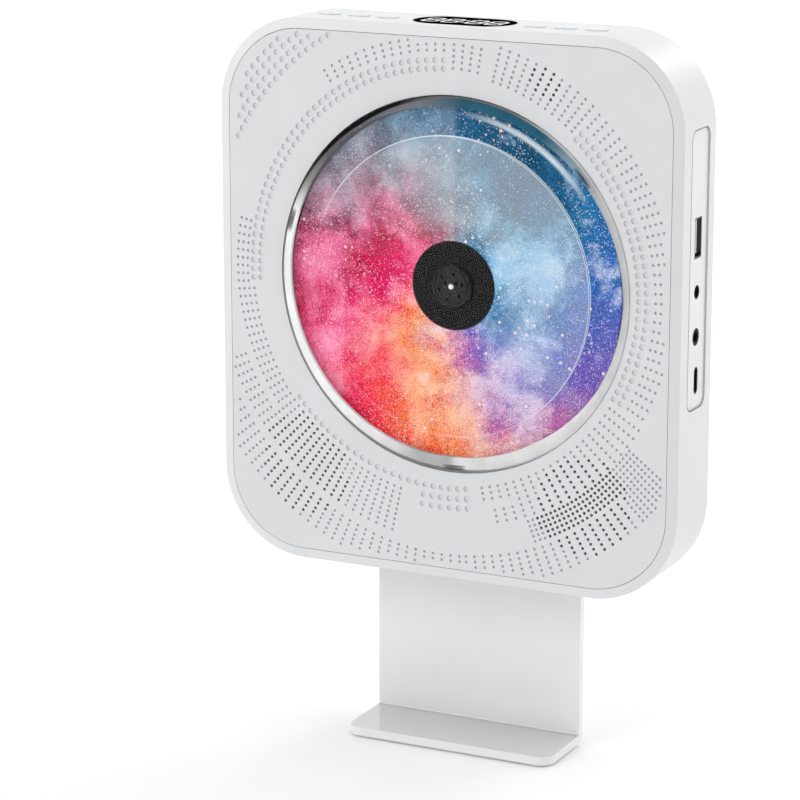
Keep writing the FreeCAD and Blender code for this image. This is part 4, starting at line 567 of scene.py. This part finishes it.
def mark_shapes(kind, cx, cy):
    """Plain raised marks: bars, triangles and a ring."""
    s = MM
    tri = lambda x, d, k=1.0: [(cx + x * s, cy - 0.9 * k * s), (cx + (x + 1.2 * k * d) * s, cy), (cx + x * s, cy + 0.9 * k * s)]
    bar = lambda x, w, h: [(cx + (x - w / 2) * s, cy - h / 2 * s), (cx + (x + w / 2) * s, cy - h / 2 * s),
                           (cx + (x + w / 2) * s, cy + h / 2 * s), (cx + (x - w / 2) * s, cy + h / 2 * s)]
    out = []
    if kind == 0:      # ring with a bar
        for k in range(16):
            a0, a1 = math.radians(60 + k * 20 - 10), math.radians(60 + k * 20 + 10)
            out.append([(cx + 0.75 * s * math.cos(a0), cy + 0.75 * s * math.sin(a0)), (cx + 1.05 * s * math.cos(a0), cy + 1.05 * s * math.sin(a0)),
                        (cx + 1.05 * s * math.cos(a1), cy + 1.05 * s * math.sin(a1)), (cx + 0.75 * s * math.cos(a1), cy + 0.75 * s * math.sin(a1))])
        out.append([(x, y + 0.55 * s) for x, y in bar(0, 0.28, 1.0)])
    elif kind == 1:    # two bars
        out += [bar(-0.45, 0.4, 1.8), bar(0.45, 0.4, 1.8)]
    elif kind == 2:    # to the left
        out += [tri(0.1, -1), tri(1.4, -1)]
    elif kind == 3:    # triangle and bars
        out += [tri(-1.3, 1), bar(0.55, 0.32, 1.8), bar(1.15, 0.32, 1.8)]
    elif kind == 4:    # to the right
        out += [tri(-1.4, 1), tri(-0.1, 1)]
    else:              # square
        out += [bar(0, 1.5, 1.5)]
    return out


for i in range(1, 7):
    lo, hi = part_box("button_%d" % i)
    cx, cy = (lo.x + hi.x) / 2, (lo.y + hi.y) / 2
    plate("button_%d_mark" % i, mark_shapes(i - 1, cx, cy), hi.z - 0.02 * MM, 0.08 * MM, MATS["port"], "key_%d" % i)


def seam(name, x, y0, y1, z0, z1, corner, width, mat):
    """Painted shade for the gap round the plate in the right side, as a thin dark rounded frame."""
    def outline(grow):
        pts = []
        for cy, cz, a0 in ((y1 - corner, z1 - corner, 0), (y0 + corner, z1 - corner, 90), (y0 + corner, z0 + corner, 180), (y1 - corner, z0 + corner, 270)):
            for k in range(9):
                a = math.radians(a0 + k * 11.25)
                pts.append((cy + (corner + grow) * math.cos(a), cz + (corner + grow) * math.sin(a)))
        return pts
    bm = bmesh.new()
    rings = [[bm.verts.new((x + dx, y, z)) for y, z in outline(g)] for dx, g in ((-0.02 * MM, -width / 2), (0.03 * MM, -width / 2), (0.03 * MM, width / 2), (-0.02 * MM, width / 2))]
    n = len(rings[0])
    for a, b in zip(rings, rings[1:] + rings[:1]):
        for k in range(n):
            bm.faces.new((a[k], a[(k + 1) % n], b[(k + 1) % n], b[k]))
    bmesh.ops.recalc_face_normals(bm, faces=bm.faces)
    me = bpy.data.meshes.new(name)
    bm.to_mesh(me)
    bm.free()
    ob = bpy.data.objects.new(name, me)
    scene.collection.objects.link(ob)
    me.materials.append(mat)
    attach(ob, "player")
    return ob


plo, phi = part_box("port_plate")


def seam_shade():
    """Painted shade in the gap: dark where it is deep at its front side, and pale where it is shallow at its rear
    side below the top corner.
    """
    m = Mat("seam_shade", (0.16, 0.16, 0.17), 0.6)
    sep = m.node("ShaderNodeSeparateXYZ")
    m.link(m.co(), sep.inputs[0])
    back = m.math("DIVIDE", m.math("SUBTRACT", sep.outputs[1], 0.0045), 0.003, clamp=True)
    low = m.math("DIVIDE", m.math("SUBTRACT", 0.2185, sep.outputs[2]), 0.008, clamp=True)
    pale = m.math("MULTIPLY", back, low)
    tone = m.mix(pale, (0.15, 0.15, 0.16), (0.46, 0.46, 0.47))
    m.colour(m.mix(1.0, tone, m.ramp(m.noise(300.0, 2.0), [(0.3, (0.85,) * 3), (0.7, (1.0,) * 3)]), "MULTIPLY"))
    m.rough(260.0, 0.55, 0.66)
    return m.m


MATS["seam"] = seam_shade()
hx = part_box("housing_shell")[1].x
seam("port_plate_seam", hx, -7.25 * MM - 0.12 * MM, 8.25 * MM + 0.12 * MM, 128.45 * MM - 0.12 * MM, 220.75 * MM + 0.12 * MM, 3.6 * MM, 0.30 * MM, MATS["seam"])


# ------------------------------------------------------------------ floor, backdrop, light, camera
def floor_material():
    m = Mat("floor_pale", (0.975, 0.975, 0.977), 0.55)
    m.vary(4.0, 0.004)
    m.rough(20.0, 0.5, 0.6)
    sep = m.node("ShaderNodeSeparateXYZ")
    m.link(m.co(), sep.inputs[0])
    far = m.math("DIVIDE", m.math("SUBTRACT", sep.outputs[1], 0.15), 1.6, clamp=True)
    m.p.inputs["Emission Color"].default_value = (1.0, 1.0, 1.0, 1.0)
    m.link(m.math("ADD", m.math("MULTIPLY", far, 0.40), 0.04), m.p.inputs["Emission Strength"])
    return m.m


bm = bmesh.new()
# a floor that curves up into a backdrop well behind the object
prof = [(-4.0, 0.0), (5.0, 0.0)] + [(5.0 + 1.2 * math.sin(math.radians(a)), 1.2 - 1.2 * math.cos(math.radians(a))) for a in range(10, 91, 10)] + [(6.2, 4.0)]
rows = [[bm.verts.new((x, y, z)) for x in (-5.0, 5.0)] for y, z in prof]
for a, b in zip(rows, rows[1:]):
    bm.faces.new((a[0], a[1], b[1], b[0]))
me = bpy.data.meshes.new("floor")
bm.to_mesh(me)
bm.free()
floor = bpy.data.objects.new("floor", me)
me.materials.append(floor_material())
for p in me.polygons:
    p.use_smooth = True
scene.collection.objects.link(floor)


def area(name, loc, target, size, power, size_y=None, colour=(1, 1, 1)):
    d = bpy.data.lights.new(name, "AREA")
    d.energy = power
    d.color = colour
    d.size = size
    if size_y:
        d.shape = "RECTANGLE"
        d.size_y = size_y
    o = bpy.data.objects.new(name, d)
    o.location = loc
    o.rotation_euler = (Vector(target) - Vector(loc)).to_track_quat("-Z", "Y").to_euler()
    scene.collection.objects.link(o)
    return o


POWER = {"world": 0.59, "key": 6.2, "keyl": 7.0, "left": 0.2, "right": 5.5, "top": 9.5, "back": 7.0}
AIM = (0.0, 0.0, 0.15)
area("key", (-0.75, -1.6, 1.1), AIM, 1.0, POWER["key"])
area("key_left", (-1.45, -1.15, 0.75), AIM, 1.1, POWER["keyl"], 1.3)
area("left", (-1.7, 0.2, 0.6), AIM, 0.9, POWER["left"], 1.3)
area("right", (1.6, 0.75, 0.8), AIM, 1.0, POWER["right"], 1.4)
area("top", (0.0, 0.1, 2.0), AIM, 1.6, POWER["top"])
area("back", (0.5, 1.6, 1.3), AIM, 0.9, POWER["back"])

world = bpy.data.worlds.new("studio")
scene.world = world
world.use_nodes = True
bg = world.node_tree.nodes["Background"]
bg.inputs["Color"].default_value = (1.0, 1.0, 1.0, 1.0)
bg.inputs["Strength"].default_value = POWER["world"]

cam_data = bpy.data.cameras.new("camera")
cam = bpy.data.objects.new("camera", cam_data)
scene.collection.objects.link(cam)
cam_data.sensor_fit = "HORIZONTAL"
cam_data.sensor_width = 36.0
cam_data.lens = 3217.92 * 36.0 / 800.0
cam_data.clip_start = 0.05
cam_data.clip_end = 20.0
cam.location = (0.448667, -0.957567, 0.384204)
forward = Vector((-0.42925, 0.87057, -0.24051))
cam.rotation_euler = forward.to_track_quat("-Z", "Y").to_euler()
scene.camera = cam

scene.view_settings.view_transform = "Standard"
scene.view_settings.look = "None"
scene.view_settings.exposure = 0.0
scene.view_settings.gamma = 1.0
